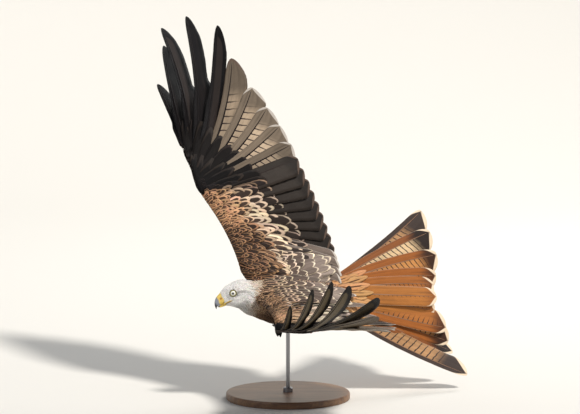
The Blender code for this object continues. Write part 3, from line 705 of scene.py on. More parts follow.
def flightFeather(line, up, leadTurn, spec, strip):
    share, across, layer = flightShape["places"].T
    share = 1 - (1 - share) ** 1.45  # more rows near the tip
    lead = across * leadTurn  # 1 at the leading edge, -1 at the trailing one
    start = spec.get("start", 0.06)
    s = start + (1 - start) * share
    leadWide = np.interp(s, spec["stations"], spec["leads"])
    trailWide = np.interp(s, spec["stations"], spec["trails"])
    tip = spec["tipStart"]
    close = np.clip((s - tip) / (1 - tip), 0, 1)
    blunt = spec.get("blunt", 0.56)
    leadWide = leadWide * np.maximum(1 - close ** spec["tipLead"], 0.0) ** blunt
    trailWide = trailWide * np.maximum(1 - close ** spec["tipTrail"], 0.0) ** blunt
    wide = np.where(lead > 0, leadWide, trailWide) + 0.0004
    ragged = np.interp(s * 60 + spec["seed"] * 7.3 + (lead > 0) * 31, np.arange(200), raggedness)
    wide = wide * (1 - np.abs(across) ** 3 * ragged * spec.get("ragged", 0.025))
    offset = np.abs(across) * wide
    skew = offset * 0.45 * (1 - ease(0.8, 1, s)) / spec["length"]
    points, _, upper, sideways = lineFrames(line, up, s + skew, spec.get("twist", 0.0))
    camber = spec["camber"] * (0.35 - (offset / 0.03) ** 2 * np.where(lead > 0, 0.8, 0.6))
    tilt = offset * spec["tilt"] * np.sign(lead)
    wave = 0.0004 * np.sin(s * 40 + spec["seed"]) * (offset / 0.03)
    thick = 0.00022 + 0.0003 * (1 - s) * (1 - np.abs(across))
    height = spec.get("raise", 0.0) + camber + tilt + wave + layer * thick
    points = points + sideways * (across * wide)[:, None] + upper * height[:, None]
    left, width = strip
    side = np.where(layer > 0, 0.0, width / 2) + (across * 0.46 + 0.5) * width * 0.46
    bake = spots(left + side, 0.02 + 0.96 * share)
    batch = webBatch(flightShape, points, spots(0.5 - lead / 2, s), bake, spec)
    if "underBase" in spec:
        colour, first, last = spec["underBase"]
        batch["webUnder"][:, :3] = between(colour, batch["webUnder"][:, :3], ease(first, last, s)[:, None])
    return joined([batch, quill(line, up, spec, strip)])


def quill(line, up, spec, strip):
    share, side, top = quillShape["places"].T
    s = share * 0.965
    points, _, upper, sideways = lineFrames(line, up, s, spec.get("twist", 0.0))
    radius = (0.0021 * (1 - s) ** 0.8 + 0.00032) * spec.get("quill", 1.0)
    lift = spec.get("raise", 0.0) + spec["camber"] * 0.35
    points = points + sideways * (side * radius)[:, None] + upper * (top * radius * 0.75 + lift)[:, None]
    left, width = strip
    bake = spots(left + width * (0.955 + side * 0.02), 0.02 + 0.96 * share + top * 0.001)
    batch = webBatch(quillShape, points, spots(0.5, s), bake, web(spec["shaft"]))
    return {**batch, "lowers": batch["lowers"] * 0}


webKeys = ("webOuter", "webInner", "webTip", "webBar", "webUnder", "webMarks", "webFringe")


def web(outer, inner=None, under=None, tip=None, tipStart=2.0, bar=None, bars=(0.0, 0.0), barCount=9,
        fringe=None, fringeStart=2.0):
    inner = outer if inner is None else inner
    under = inner if under is None else under
    tip, bar, fringe = (outer if c is None else c for c in (tip, bar, fringe))
    return {
        "webOuter": (*outer, 1.0), "webInner": (*inner, 1.0), "webUnder": (*under, 1.0),
        "webTip": (*tip, tipStart), "webBar": (*bar, 1.0),
        "webMarks": (*bars, barCount / 100, fringeStart), "webFringe": (*fringe, 1.0),
    }


raggedness = dice.uniform(0, 1, 200)


def spacing(lines, i, other, shares):
    # How far a shaft's points are from the next shaft
    here = alongLine(lines[i], shares)
    there = alongLine(lines[other], np.linspace(0, 1.15, 80))
    return np.linalg.norm(here[:, None] - there[None], axis=-1).min(1)


primaryLooks = (
    # width, the leading web's share of it, where the notch is, and the kind of tip
    (0.028, 0.25, 0.43, "finger"), (0.031, 0.22, 0.5, "finger"),
    (0.036, 0.2, 0.52, "finger"), (0.039, 0.2, 0.56, "finger"),
    (0.041, 0.22, 0.62, "finger"), (0.048, 0.28, None, "finger"),
    (0.05, 0.32, None, "broad"), (0.05, 0.34, None, "broad"),
    (0.048, 0.36, None, "broad"), (0.046, 0.38, None, "broad"),
)
vaneColours = {
    "black": paint(15, 13, 15), "blackBrown": paint(44, 38, 36), "brown": paint(88, 72, 62),
    "greyBrown": paint(130, 115, 98), "olive": paint(98, 85, 62), "buff": paint(190, 168, 142),
    "white": paint(226, 216, 204),
    "dark": paint(48, 39, 36), "secondary": paint(38, 33, 29),
    "rufousPale": paint(222, 170, 128), "tertial": paint(118, 104, 94),
}


def barred(bars, count, fringe, start):
    # Bars on the outer and on the inner web, and a border
    return {"bar": vaneColours["dark"], "bars": bars, "barCount": count,
            "fringe": fringe, "fringeStart": start}


def primaryWeb(i):
    c = vaneColours
    if i < 5:
        # a darker border along the edges and tip: the feathers' own black, deepened by painted shade along
        # their rims
        rim = {"fringe": c["black"] * 0.5, "fringeStart": 0.58}
        inner = (c["black"], c["black"], c["blackBrown"], c["black"], c["blackBrown"] * 0.8)[i]
        return web(c["black"], inner, under=c["olive"] * (0.3 if i == 4 else 1.0), **rim), c["black"]
    if i == 5:
        marks = barred((0.1, 0.86), 17, c["brown"], 0.95)
        return web(c["greyBrown"] * 0.62, c["buff"] * 0.6, under=c["olive"] * 0.6, tip=c["greyBrown"] * 0.5,
                   tipStart=0.7, **marks), c["black"]
    marks = barred((0.22, 0.9), 16, c["white"] * 0.6, 0.965)
    tone = c["greyBrown"] * (0.78, 0.86, 0.9, 0.7)[i - 6]
    inner = c["buff"] * (0.8, 1.0, 1.05, 0.7)[i - 6]
    return web(tone, inner, under=c["greyBrown"] * 1.2, tip=tone * 0.85, tipStart=0.78, **marks), c["black"]


leftFingers = (
    # the left wing's outer feathers: twist in degrees, notch, and a factor of the width
    (-38.0, 0.24, 0.78), (-34.0, 0.3, 0.92), (-28.0, 0.32, 0.95),
    (-19.0, 0.36, 1.0), (-4.0, 0.44, 1.0), (0.0, 0.6, 1.0),
)


wingStations = np.array((0.0, 0.12, 0.3, 0.45, 0.6, 0.75, 0.88, 1.0))  # where a vane's widths are given


def wingSpec(i, wing):
    stations = wingStations
    gaps = spacing(wing["lines"], i, i + 1, stations) if i < 22 else np.full(8, 0.02)
    spec = {"length": wing["lengths"][i], "seed": i * 1.7, "camber": 0.0016, "tilt": 0.075, "tipStart": 0.8,
            "tipLead": 2.2, "tipTrail": 2.2, "shaft": vaneColours["dark"]}
    if i < 10:
        width, lead, notch, tip = primaryLooks[i]
        spec["underBase"] = (vaneColours["white"] * 0.8, 0.2, 0.3)
        spec["quill"] = 1.35
        if wing["side"] < 0 and i < 6:
            spec["twist"], notch, slim = leftFingers[i]
            width *= slim
        elif i in (3, 4):
            spec["twist"] = -8.0 * (i - 2)
        spec["web"], spec["shaft"] = primaryWeb(i)
        narrowLead, narrowTrail = width * lead, width * (1 - lead)
        baseTrail = np.minimum(gaps * 1.2 + 0.007, 0.048)
        if notch:
            stations = np.linspace(0, 1, 41)
            wideTrail = np.interp(stations, wingStations, baseTrail)
            if i == 4:
                wideTrail = np.minimum(wideTrail, narrowTrail)
            wideTrail = np.maximum(wideTrail, narrowTrail * (1.0 if i == 4 else 1.15))
            spec["trails"] = between(wideTrail, narrowTrail, ease(notch - 0.055, notch + 0.035, stations))
            spec["leads"] = between(0.0125, narrowLead, ease(notch - 0.16, notch - 0.02, stations))
        else:
            spec["trails"] = np.maximum(np.minimum(gaps * 1.15 + 0.008, 0.044), narrowTrail)
            spec["leads"] = np.full(8, narrowLead)
        if tip == "finger":
            spec.update(tipStart=0.74, tipLead=5.0, tipTrail=1.9)
            if wing["side"] < 0 and i < 4:
                spec.update(tipStart=(0.4, 0.54, 0.6, 0.68)[i], tipLead=2.6, tipTrail=1.5)
        else:
            spec.update(tipStart=0.84, tipLead=2.6, tipTrail=2.4)
    else:
        c = vaneColours
        spec["leads"] = np.full(8, 0.0155 if i < 19 else 0.021)
        spec["trails"] = np.minimum(gaps * 1.1 + 0.01, 0.036)
        spec.update(tipStart=0.84, tipLead=2.4, tipTrail=2.4)
        if i < 19:
            paler = 1 + 0.5 * max(13 - i, 0) / 3
            outer, inner, tip = c["secondary"] * paler, c["secondary"] * 1.25 * paler, c["secondary"] * 0.85
            spec["web"] = web(outer, inner, under=c["greyBrown"] * 0.8, tip=tip, tipStart=0.84,
                              **barred((0.5, 0.6), 13, c["brown"], 0.975))
        else:
            marks = barred((0.2, 0.3), 8, c["white"] * 0.7, 0.955)
            spec["web"] = web(c["tertial"], c["tertial"] * 1.15, under=c["greyBrown"] * 0.9, **marks)
            spec["camber"] = 0.003
    spec["stations"] = stations
    return {**spec, **spec.pop("web")}


def wingPiece(label, first, last, name, material, replaced=()):
    wing = wings[label]
    batches = []
    count = last - first
    for k, i in enumerate(range(first, last)):
        spec = wingSpec(i, wing)
        strip = (0.01 + 0.98 * k / count, 0.94 / count)
        batches.append(flightFeather(wing["lines"][i], wing["ups"][i], wing["side"], spec, strip))
    makePiece(name, joined(batches), material, replaced)


for label, tag in (("Right", "right"), ("Left", "left")):
    wingPiece(label, 0, 10, "primaries" + label, blackVane, ("wing_" + tag + "_hand",))
    wingPiece(label, 10, 23, "secondaries" + label, brownVane, ("wing_" + tag + "_arm",))


tailLooks = (
    # outer web, inner web, bars on each, tip and where it starts, from the outermost pair in
    ((62, 50, 44), (176, 134, 92), (0.2, 0.95), (60, 49, 44), 0.76),
    ((134, 80, 42), (216, 186, 144), (0.2, 0.97), (38, 29, 25), 0.8),
    ((150, 88, 40), (190, 132, 76), (0.1, 0.93), (60, 37, 25), 0.84),
    ((154, 90, 39), (166, 103, 50), (0.1, 0.8), (84, 48, 28), 0.88),
    ((157, 94, 41), (161, 99, 46), (0.1, 0.66), (112, 66, 34), 0.9),
    ((168, 107, 51), (168, 107, 51), (0.05, 0.45), (144, 88, 44), 0.91),
)


def tailSpec(i):
    outer = i if i < 6 else 11 - i  # 0 is the outermost pair
    other = i + 1 if i < 6 else i - 1
    stations = np.array((0.0, 0.2, 0.4, 0.6, 0.8, 1.0))
    gaps = spacing(tailLines, i, other, stations)
    lead = (0.011, 0.015, 0.017, 0.018, 0.019, 0.022)[outer]
    spec = {"length": tailLengths[i], "seed": 40 + i * 1.3, "camber": 0.002, "tilt": 0.09, "start": 0.1,
            "raise": 0.0022 * outer + (0.0035 if i == 5 else 0.0), "shaft": paint(150, 112, 84),
            "tipStart": 0.87, "tipLead": 2.2, "tipTrail": 2.2, "blunt": 0.42,
            "stations": stations, "leads": lead * np.array((0.7, 0.9, 1, 1, 1, 1)),
            "trails": np.clip(gaps * 1.1 + 0.006, 0.024, 0.04)}
    if i in (5, 6):
        spec["trails"] = np.full(6, 0.024)
    tone, inner, bars, tip, tipStart = tailLooks[outer]
    marks = barred(bars, 24, paint(228, 206, 178), 0.965)
    return {**spec, **web(paint(*tone), paint(*inner), under=vaneColours["rufousPale"] * 1.05,
                          tip=paint(*tip), tipStart=tipStart, **marks)}


def tailTurns():
    # The upper sides along each tail feather, across the sheet that they make together
    ups = unit(np.cross(np.gradient(tailLines, axis=0), np.gradient(tailLines, axis=1)))
    ups = ups * np.sign(ups @ tailUp)[..., None]
    flat = np.array((0.4, 0, 0, 0, 0, 0, 0, 0, 0, 0.15, 0.5, 0.75))[:, None, None]
    return unit(between(ups, tailUp, flat))


tailUps = tailTurns()
tailBatches = []
for i in range(12):
    strip = (0.01 + 0.98 * i / 12, 0.94 / 12)
    tailBatches.append(flightFeather(tailLines[i], tailUps[i], 1 if i < 6 else -1, tailSpec(i), strip))
makePiece("tailFeathers", joined(tailBatches), rufousVane, ("tail",))


def evaluatedMesh(obj):
    graph = bpy.context.evaluated_depsgraph_get()
    graph.update()
    return bpy.data.meshes.new_from_object(obj.evaluated_get(graph))


def wingFlesh(bm, wing, shape):
    share, across, layer = shape["places"].T
    count = len(wing["lines"])
    number = -0.45 + (count - 0.45) * (across + 1) / 2
    behind = np.where(share < 0.6, share / 0.6 - 1, (share - 0.6) * 0.06)
    middle = wingLook(wing, wing["sheet"], number, behind)
    upper = unit(wingLook(wing, wing["normals"], number, behind))
    half = np.maximum(fleshHalf(number, behind) - 0.0012, 0.0009) * np.where(share > 0.93, 0.6, 1.0)
    half = half * np.where(layer > 0, 1.0, 0.8)
    points = middle + upper * (layer * half)[:, None]
    bm.from_mesh(arrayMesh("wingFlesh", points, shape["corners"], shape["sizes"]))


fleshNodes = ("trunk", "neck", "head", "leg_left", "leg_right")


def cadCopy(nodes):
    bm = bmesh.new()
    for name in nodes:
        bm.from_mesh(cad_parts[name].data)
    bmesh.ops.remove_doubles(bm, verts=bm.verts, dist=1e-5)
    return bm


def skinMesh():
    bm = cadCopy(fleshNodes)
    shape = vaneTemplate(24, 60)
    for wing in wings.values():
        wingFlesh(bm, wing, shape)
    helper = linked("fleshParts", meshFrom(bm, "fleshParts"))
    remesh = helper.modifiers.new("Remesh", "REMESH")
    remesh.mode, remesh.voxel_size = "VOXEL", 0.0023
    smooth = helper.modifiers.new("Smooth", "SMOOTH")
    smooth.factor, smooth.iterations = 0.5, 10
    made = evaluatedMesh(helper)
    bpy.data.objects.remove(helper)
    return made


coatDepth = {
    "headFore": (-0.04, -0.02, 0.0, 0.018, 0.026, 0.034),
    "head": (0.006, 0.0034, 0.0024, 0.0016, 0.001, 0.0004),
    "trunk": 0.0062, "legFore": (-0.11, -0.085), "leg": (0.0015, 0.0045), "wingStart": (0.05, 0.072),
}


def shrinkDepth(points):
    head, body = inHead(points), inBody(points)
    depth = np.full(len(points), coatDepth["trunk"])
    depth = depth * (1 - 0.35 * ease(-0.085, -0.115, body[:, 0]))
    onLeg = ease(-0.03, -0.04, body[:, 2]) * ease(-0.02, -0.05, body[:, 0])
    depth = between(depth, np.interp(body[:, 0], coatDepth["legFore"], coatDepth["leg"]), onLeg)
    onHead = np.interp(head[:, 0], coatDepth["headFore"], coatDepth["head"])
    depth = between(depth, onHead, ease(0.078, 0.108, body[:, 0]))
    return depth * (1 - ease(*coatDepth["wingStart"], np.abs(body[:, 1])))


def shapedSkin(mesh):
    points = meshPoints(mesh)
    normals = np.empty(len(points) * 3, np.float32)
    mesh.vertices.foreach_get("normal", normals)
    normals = normals.reshape(-1, 3).astype(float)
    points -= normals * shrinkDepth(points)[:, None]
    head = inHead(points)
    side = np.sign(head[:, 1])
    # A ridge over each eye that runs back from the lore, and a hollow before the eye
    behind, over = head[:, 0] - eyeAt[0], head[:, 2] - eyeAt[1]
    along = np.clip(behind, -0.009, 0.011)
    ridge = np.hypot(behind - along, over - (0.0092 + 0.06 * (along + 0.01)))
    swell = 0.002 * np.exp(-((ridge / 0.0034) ** 2)) * (np.abs(head[:, 1]) > 0.008)
    hollow = 0.0012 * np.exp(-(((behind - 0.016) / 0.006) ** 2) - ((over + 0.001) / 0.006) ** 2)
    points += (side * (swell - hollow * (np.abs(head[:, 1]) > 0.006)))[:, None] * headAxes[1]
    mesh.vertices.foreach_set("co", points.astype(np.float32).ravel())
    mesh.update()
    return points


def searchTree(*parts):
    # For finding places on meshes and on grids of points
    points, faces = [], []
    for part in parts:
        start = len(points)
        if isinstance(part, bpy.types.Mesh):
            points.extend(tuple(v.co) for v in part.vertices)
            faces.extend(tuple(start + k for k in p.vertices) for p in part.polygons)
            continue
        rows, columns = part.shape[:2]
        points.extend(tuple(p) for p in part.reshape(-1, 3))
        for a in (start + i * columns + j for i in range(rows - 1) for j in range(columns - 1)):
            faces.append((a, a + 1, a + columns + 1, a + columns))
    return BVHTree.FromPolygons(points, faces)


skin = skinMesh()
skinPoints = shapedSkin(skin)
skinTree = searchTree(skin)
print("skin", len(skinPoints), len(skin.polygons))


def onSkin(points):
    # The nearest places on the skin and its outward directions there
    found = [skinTree.find_nearest(Vector(point))[:2] for point in points]
    return np.array([place[:] for place, _ in found]), np.array([normal[:] for _, normal in found])


# Markings, shared by the skin and its coat, with painted shade on the underside
coatTones = {
    # dark centre, light border, how much of a feather's half width is dark
    "face": (paint(216, 213, 209), paint(246, 244, 241), 0.16),
    "crown": (paint(166, 160, 154), paint(244, 241, 237), 0.18),
    "nape": (paint(98, 84, 74), paint(232, 216, 198), 0.26),
    "neck": (paint(60, 48, 41), paint(210, 172, 134), 0.36),
    "mantle": (paint(56, 47, 43), paint(178, 152, 130), 0.62),
    # breast and belly: rufous-brown, darkened further as painted shade of the underside
    "breast": (paint(40, 30, 24), paint(108, 77, 54), 0.4),
    "belly": (paint(76, 46, 32), paint(156, 92, 56), 0.26),
    "rump": (paint(84, 62, 50), paint(178, 136, 104), 0.5),
    "leg": (paint(96, 60, 42), paint(178, 110, 70), 0.14),
    "vent": (paint(120, 84, 62), paint(212, 162, 118), 0.12),
}


def bodyTones(points):
    head, body = inHead(points), inBody(points)
    count = len(points)
    columns = {name: np.array((*dark, *light, streak)) for name, (dark, light, streak) in coatTones.items()}

    def over(under, name, share):
        return between(under, columns[name], share[:, None])

    upper = ease(-0.012, 0.022, body[:, 2])
    tones = np.tile(columns["belly"], (count, 1))
    tones = over(tones, "breast", ease(-0.01, 0.05, body[:, 0]))
    tones = over(tones, "vent", ease(-0.085, -0.11, body[:, 0]))
    back = over(np.tile(columns["mantle"], (count, 1)), "rump", ease(-0.05, -0.085, body[:, 0]))
    tones = between(tones, back, upper[:, None])
    legs = ease(-0.03, -0.042, body[:, 2]) * ease(-0.015, -0.045, body[:, 0])
    tones = over(tones, "leg", legs * ease(0.006, 0.016, np.abs(body[:, 1])))
    wobble = 0.006 * np.sin(points[:, 0] * 160) * np.sin(points[:, 2] * 140 + 1)
    fore, _, up = head.T
    gap = fore + wobble + 0.7 * np.minimum(up, 0)
    neck = ease(-0.098, -0.07, gap) * (0.45 + 0.55 * upper) * ease(0.06, 0.09, body[:, 0])
    tones = over(tones, "neck", neck)
    tones = over(tones, "nape", ease(-0.066, -0.046, gap))
    tones = over(tones, "crown", ease(-0.05, -0.03, gap))
    tones = over(tones, "face", ease(-0.012, 0.012, fore))
    # painted shade: the throat's underside is darkened, as if in shadow beneath the head
    throatShade = ease(-0.014, -0.028, up) * ease(0.022, 0.004, fore) * ease(-0.075, -0.05, fore)
    tones[:, :6] *= 1 - 0.42 * throatShade[:, None]
    # a dark line through and behind the eye
    line = np.exp(-(((up - eyeAt[1] - 0.34 * (fore - eyeAt[0])) / 0.0023) ** 2))
    line = line * ease(-0.036, -0.022, fore) * ease(0.004, -0.004, fore)
    tones[:, :6] *= 1 - 0.55 * line[:, None]
    return tones


def skinMaterial():
    material, tree, shader = newMaterial("skinCoat", Roughness=0.8, Specular_IOR_Level=0.2)
    tone = attribute(tree, "skinTone").outputs["Color"]
    uneven = noise(objectPlace(tree), 420.0, 3.0)
    colour = mixed(remap(uneven, 0.35, 0.65, 0.35, 0.8), (0.02, 0.015, 0.012, 1.0), tone)
    tree.links.new(colour, shader.inputs["Base Color"])
    bumped(tree, shader, uneven, 0.0006)
    return material


def skinPiece():
    skin.name = "skin"
    tones = bodyTones(skinPoints)
    colours = between(tones[:, 3:6], tones[:, :3], np.minimum(tones[:, 6:7], 0.9))
    onWing = ease(0.055, 0.075, np.abs(inBody(skinPoints)[:, 1]))[:, None]
    colourColumn(skin, "skinTone", opaque(between(colours, paint(104, 80, 62), onWing)))
    placed("skin", skin, skinMaterial(), fleshNodes)


skinPiece()
plumeShape = plumeTemplate(6, 4)
plumeShares = np.array((0.0, 0.22, 0.46, 0.68, 0.84, 0.95, 1.0))
plumeProfiles = {
    "round": np.array((0.5, 0.84, 1.0, 1.0, 0.84, 0.52, 0.16)),
    "long": np.array((0.6, 0.9, 1.0, 0.98, 0.86, 0.56, 0.18)),
    "narrow": np.array((0.55, 0.95, 1.0, 0.82, 0.56, 0.32, 0.1)),
    "blunt": np.array((0.6, 0.88, 1.0, 1.0, 0.93, 0.68, 0.28)),
}


def plumeBatch(centres, ups, widths, tones, bake, profile="round", camber=0.1, tilt=0.0):
    # centres and ups: one point and direction for each share; tones: dark, light, streak for each feather
    count = len(centres)
    share, across, height = plumeShape["places"].T
    row = np.rint(share * 6).astype(int)
    ahead = unit(np.gradient(centres, axis=1))
    upper = unit(ups - ahead * (ups * ahead).sum(-1, keepdims=True))
    sideways = np.cross(upper, ahead)
    tilt = np.broadcast_to(np.asarray(tilt, float), (count,))
    sideways = unit(sideways + upper * tilt[:, None, None])
    upper = np.cross(ahead, sideways)
    wide = widths[:, None] / 2 * plumeProfiles[profile][row][None] * across
    rise = (height - 0.5)[None] * widths[:, None] * 2 * camber * plumeProfiles[profile][row][None]
    points = centres[:, row] + sideways[:, row] * wide[..., None] + upper[:, row] * rise[..., None]
    corners, sizes, _ = repeated(plumeShape, count)
    vane = np.stack((0.5 + across / 2, plumeShares[row]), -1)
    patch = np.stack((across * 0.0014, (share - 0.5) * 0.0028), -1)
    amount = len(row)
    return {
        "points": points.reshape(-1, 3), "corners": corners, "sizes": sizes,
        "vane": np.tile(vane, (count, 1)), "bake": (bake[:, None] + patch[None]).reshape(-1, 2),
        "plumeDark": np.repeat(tones[:, (0, 1, 2, 6)], amount, axis=0),
        "plumeLight": np.repeat(opaque(tones[:, 3:6]), amount, axis=0),
    }


def varied(tones, share=0.1, streak=0.06):
    tones = tones.copy()
    tones[:, :6] *= spread(share, (len(tones), 1))
    tones[:, 3:6] *= spread(0.03, (len(tones), 3))
    tones[:, 6] += dice.normal(0, streak, len(tones))
    return np.clip(tones, 0.001, 1.3)


def evenTones(dark, light, streak, count):
    return np.tile((*paint(*dark), *paint(*light), streak), (count, 1))


def fitted(values, low=0.02, high=0.98):
    # Spread evenly over the image
    span = max(values.max() - values.min(), 1e-6)
    return low + (high - low) * (values - values.min()) / span


def chordPlace(wing, number, distance):
    reach = np.interp(number, wing["marks"], wing["reach"])
    return np.where(distance < reach, distance / reach - 1, distance - reach)


coatReach = {
    # metres behind the feet at some feather numbers
    "numbers": (-1, 0, 1, 2, 3, 5, 8, 10, 23),
    "upper": (0.055, 0.07, 0.1, 0.118, 0.124, 0.13, 0.136, 0.135, 0.142),
    "under": (0.05, 0.065, 0.092, 0.108, 0.112, 0.112, 0.11, 0.105, 0.1),
}


def coatSpan(wing, number, surface):
    reach = np.interp(number, wing["marks"], wing["reach"])
    return reach + np.interp(number, coatReach["numbers"], coatReach[surface])


def evenNumbers(wing, first, last, distanceOf, step):
    # Feather numbers that are evenly spaced in metres along a row
    fine = np.linspace(first, last, 160)
    places = wingLook(wing, wing["sheet"], fine, chordPlace(wing, fine, distanceOf(fine)))
    lengths = np.concatenate(((0,), np.cumsum(np.linalg.norm(np.diff(places, axis=0), axis=-1))))
    amount = max(int(lengths[-1] / step), 2)
    return np.interp(np.linspace(0, lengths[-1], amount), lengths, fine)


clearance = {"bodyHalf": 0.075, "overBody": 0.04, "overWing": 0.016, "past": 0.004}


def overFeathers(wing, points, ups):
    # How far each point's line out of the wing runs before it is clear of what lies there
    heights = np.zeros(points.shape[:2])
    for i in range(points.shape[0]):
        for k in range(points.shape[1]):
            out = Vector(ups[i, k])
            inside = abs(inBody(points[i, k])[1]) < clearance["bodyHalf"]
            depth = clearance["overBody" if inside else "overWing"]
            start = Vector(points[i, k]) + out * depth
            met = wing["tree"].ray_cast(start, -out, depth + clearance["past"])[3]
            heights[i, k] = 0.0 if met is None else depth - met
    return heights


def covertLines(wing, number, start, length, surface, lift, drift=0.0):
    # Centre points over the wing from a distance behind the front edge, and the directions out of it
    sign = 1 if surface == "upper" else -1
    root = chordPlace(wing, number, start)
    behind = np.maximum(root, 0)
    path = behind[:, None] + length[:, None] * plumeShares
    drift = np.broadcast_to(drift, number.shape)[:, None] * plumeShares
    shift = wingLook(wing, wing["sheet"], number[:, None] + drift, path)
    shift = shift - wingLook(wing, wing["sheet"], number, behind)[:, None]
    along = start[:, None] + length[:, None] * plumeShares
    spot = chordPlace(wing, number[:, None] + 0 * along, along)
    half = fleshHalf(number[:, None] + 0 * spot, spot) * (1.0 if sign > 0 else 0.8)
    ups = unit(wingLook(wing, wing["normals"], number[:, None] + 0 * spot, np.maximum(spot, -0.96))) * sign
    places = wingLook(wing, wing["sheet"], number, root)[:, None] + shift
    height = np.maximum(half, overFeathers(wing, places, ups))
    height = np.where(spot < -0.1, np.minimum(height, half + 0.004), height)
    height[:, 1:] = np.maximum(height[:, 1:], height[:, :-1] - 0.0015)
    height[:, 1:-1] = calmer(height, 1, 0.4)
    height = height + lift[0] + (lift[1] - lift[0]) * plumeShares * ease(2, 10, number)[:, None]
    return places + ups * height[..., None], ups


def fanLines(wing, roots, tips, lift):
    # The same for feathers that run from one place on the wing to another: (number, along) at both ends
    shares = plumeShares[None, :, None]
    spots = between(roots[:, None], tips[:, None], shares)
    number, along = spots[..., 0], spots[..., 1]
    places = wingLook(wing, wing["sheet"], number, along)
    ups = unit(wingLook(wing, wing["normals"], number, np.maximum(along, -0.96)))
    height = np.maximum(fleshHalf(number, along), overFeathers(wing, places, ups))
    height[:, 1:-1] = calmer(height, 1, 0.4)
    return places + ups * (height + lift[0] + (lift[1] - lift[0]) * plumeShares)[..., None], ups


def wingTones(number, share, surface):
    # Tones by place on the wing, where share is 0 at the front edge and 1 at the last tips
    count = len(number)
    share = np.broadcast_to(share, (count,))

    def tone(*look):
        return evenTones(*look, count)

    def over(under, upper, amount):
        return between(under, upper, amount[:, None])

    if surface == "under":
        out = tone((84, 56, 42), (176, 112, 74), 0.35)
        out = over(out, tone((92, 82, 76), (140, 126, 116), 0.86), ease(0.62, 0.85, share))
        hand = ease(10.5, 8.0, number)
        return over(out, tone((46, 39, 37), (84, 70, 62), 0.8), hand)
    out = tone((82, 62, 50), (196, 150, 112), 0.38)
    out = over(out, tone((66, 52, 44), (210, 168, 130), 0.46), ease(0.2, 0.36, share))
    out = over(out, tone((78, 63, 54), (226, 200, 172), 0.46), ease(0.44, 0.58, share))
    out = over(out, tone((62, 52, 46), (214, 190, 164), 0.64), ease(0.68, 0.82, share))
    out = over(out, tone((50, 42, 38), (182, 162, 144), 0.86), ease(0.9, 1.0, share))
    inner = ease(13.2, 16.5, number - 2.0 * share) * (1 - ease(0.5, 0.66, share))
    out = over(out, tone((52, 41, 35), (152, 114, 84), 0.72), inner * 0.9)
    outer = ease(12.8, 11.0, number)
    out = over(out, tone((44, 38, 37), (150, 122, 100), 0.9), outer * ease(0.45, 0.8, share))
    hand = ease(9.9, 9.2, number - 1.4 * share)
    return over(out, tone((24, 21, 21), (44, 37, 34), 0.95), hand)


upperRows = (
    # tips' share of the coat, root's share, spacing, width in metres, profile
    (1.0, 0.34, 0.0145, 0.03, "long"), (0.84, 0.26, 0.0125, 0.025, "long"),
    (0.71, 0.22, 0.0108, 0.021, "long"), (0.6, 0.18, 0.0096, 0.0185, "long"),
    (0.505, 0.14, 0.0088, 0.0165, "long"), (0.42, 0.1, 0.0082, 0.015, "round"),
    (0.345, 0.07, 0.0076, 0.0138, "round"), (0.28, 0.045, 0.0072, 0.0126, "round"),
    (0.22, 0.025, 0.0068, 0.0115, "round"), (0.16, 0.01, 0.0064, 0.0108, "round"),
    (0.115, 0.003, 0.0058, 0.0098, "round"), (0.075, 0.0, 0.0054, 0.009, "round"),
    (0.042, -0.01, 0.005, 0.0085, "round"),
)
underRows = (
    (1.0, 0.4, 0.017, 0.032, "long"), (0.78, 0.26, 0.015, 0.028, "long"),
    (0.6, 0.17, 0.0125, 0.023, "round"), (0.46, 0.1, 0.0105, 0.019, "round"),
    (0.34, 0.05, 0.009, 0.016, "round"), (0.24, 0.02, 0.0078, 0.0135, "round"),
    (0.15, 0.0, 0.0068, 0.0115, "round"), (0.08, -0.01, 0.006, 0.01, "round"),
)


def covertRow(wing, surface, row, index, first, last):
    tipShare, rootShare, step, width, profile = row
    loose = 1.0 if surface == "under" else np.interp(index, (0, 2, 5, 12), (0.8, 1.8, 3.0, 2.2))
    if surface == "upper" and tipShare > 0.13:
        first = 8.7 + 2.4 * tipShare
    numbers = evenNumbers(wing, first, last, lambda n: coatSpan(wing, n, surface) * tipShare * 0.8, step)
    amount = len(numbers)
    numbers = numbers + dice.normal(0, 0.05 * loose, amount)
    span = coatSpan(wing, numbers, surface)
    start = span * rootShare
    length = span * (tipShare - rootShare) * spread(0.035 * loose, amount)
    lift = (0.0003, 0.0012 + 0.001 * min(index, 3))
    drift = dice.normal(0, 0.1 * loose, amount)
    centres, ups = covertLines(wing, numbers, start, length, surface, lift, drift)
    small = np.interp(numbers, (-1, 2, 10, 13), (0.62, 0.85, 1.0, 1.0))
    widths = width * small * spread(0.05 * loose, amount)
    tones = varied(wingTones(numbers, tipShare, surface), 0.07 * loose + 0.03, 0.05 * loose)
    if wing["side"] < 0 and surface == "upper":
        # painted light: the wing that is turned to the light gets paler borders and narrower dark centres
        tones[:, 3:6] = np.minimum(tones[:, 3:6] * (1.02, 1.12, 1.2), 0.85)
        tones[:, 6] -= 0.12 * ease(9.5, 12, numbers)
    bake = spots(fitted(numbers), 0.03 + 0.94 * tipShare)
    tilt = 0.1 * wing["side"] * (1 if surface == "upper" else -1)
    return plumeBatch(centres, ups, widths, tones, bake, profile, 0.06, tilt)


handFeathers = {
    # numbers of the first and last feather, how many, then roots, tips and widths in metres at some numbers
    "span": (1.5, 10.9), "amount": 11, "marks": (0, 1, 2.8, 7, 11), "roots": (-0.5, -0.4, -0.3, 0.0, 0.01),
    "tips": (0.1, 0.116, 0.134, 0.136, 0.138), "wide": (0.021, 0.025, 0.03, 0.034, 0.035),
}
wristFan = (
    # number and metres behind the foot at the tip, the same at the root, width
    (9.6, 0.1, 9.9, -0.25, 0.034), (8.3, 0.094, 9.8, -0.35, 0.035), (7.0, 0.084, 9.6, -0.45, 0.034),
    (5.6, 0.068, 9.3, -0.55, 0.033), (4.2, 0.05, 9.0, -0.65, 0.03), (2.8, 0.03, 8.6, -0.75, 0.027),
    (1.5, 0.008, 8.2, -0.85, 0.022),
)


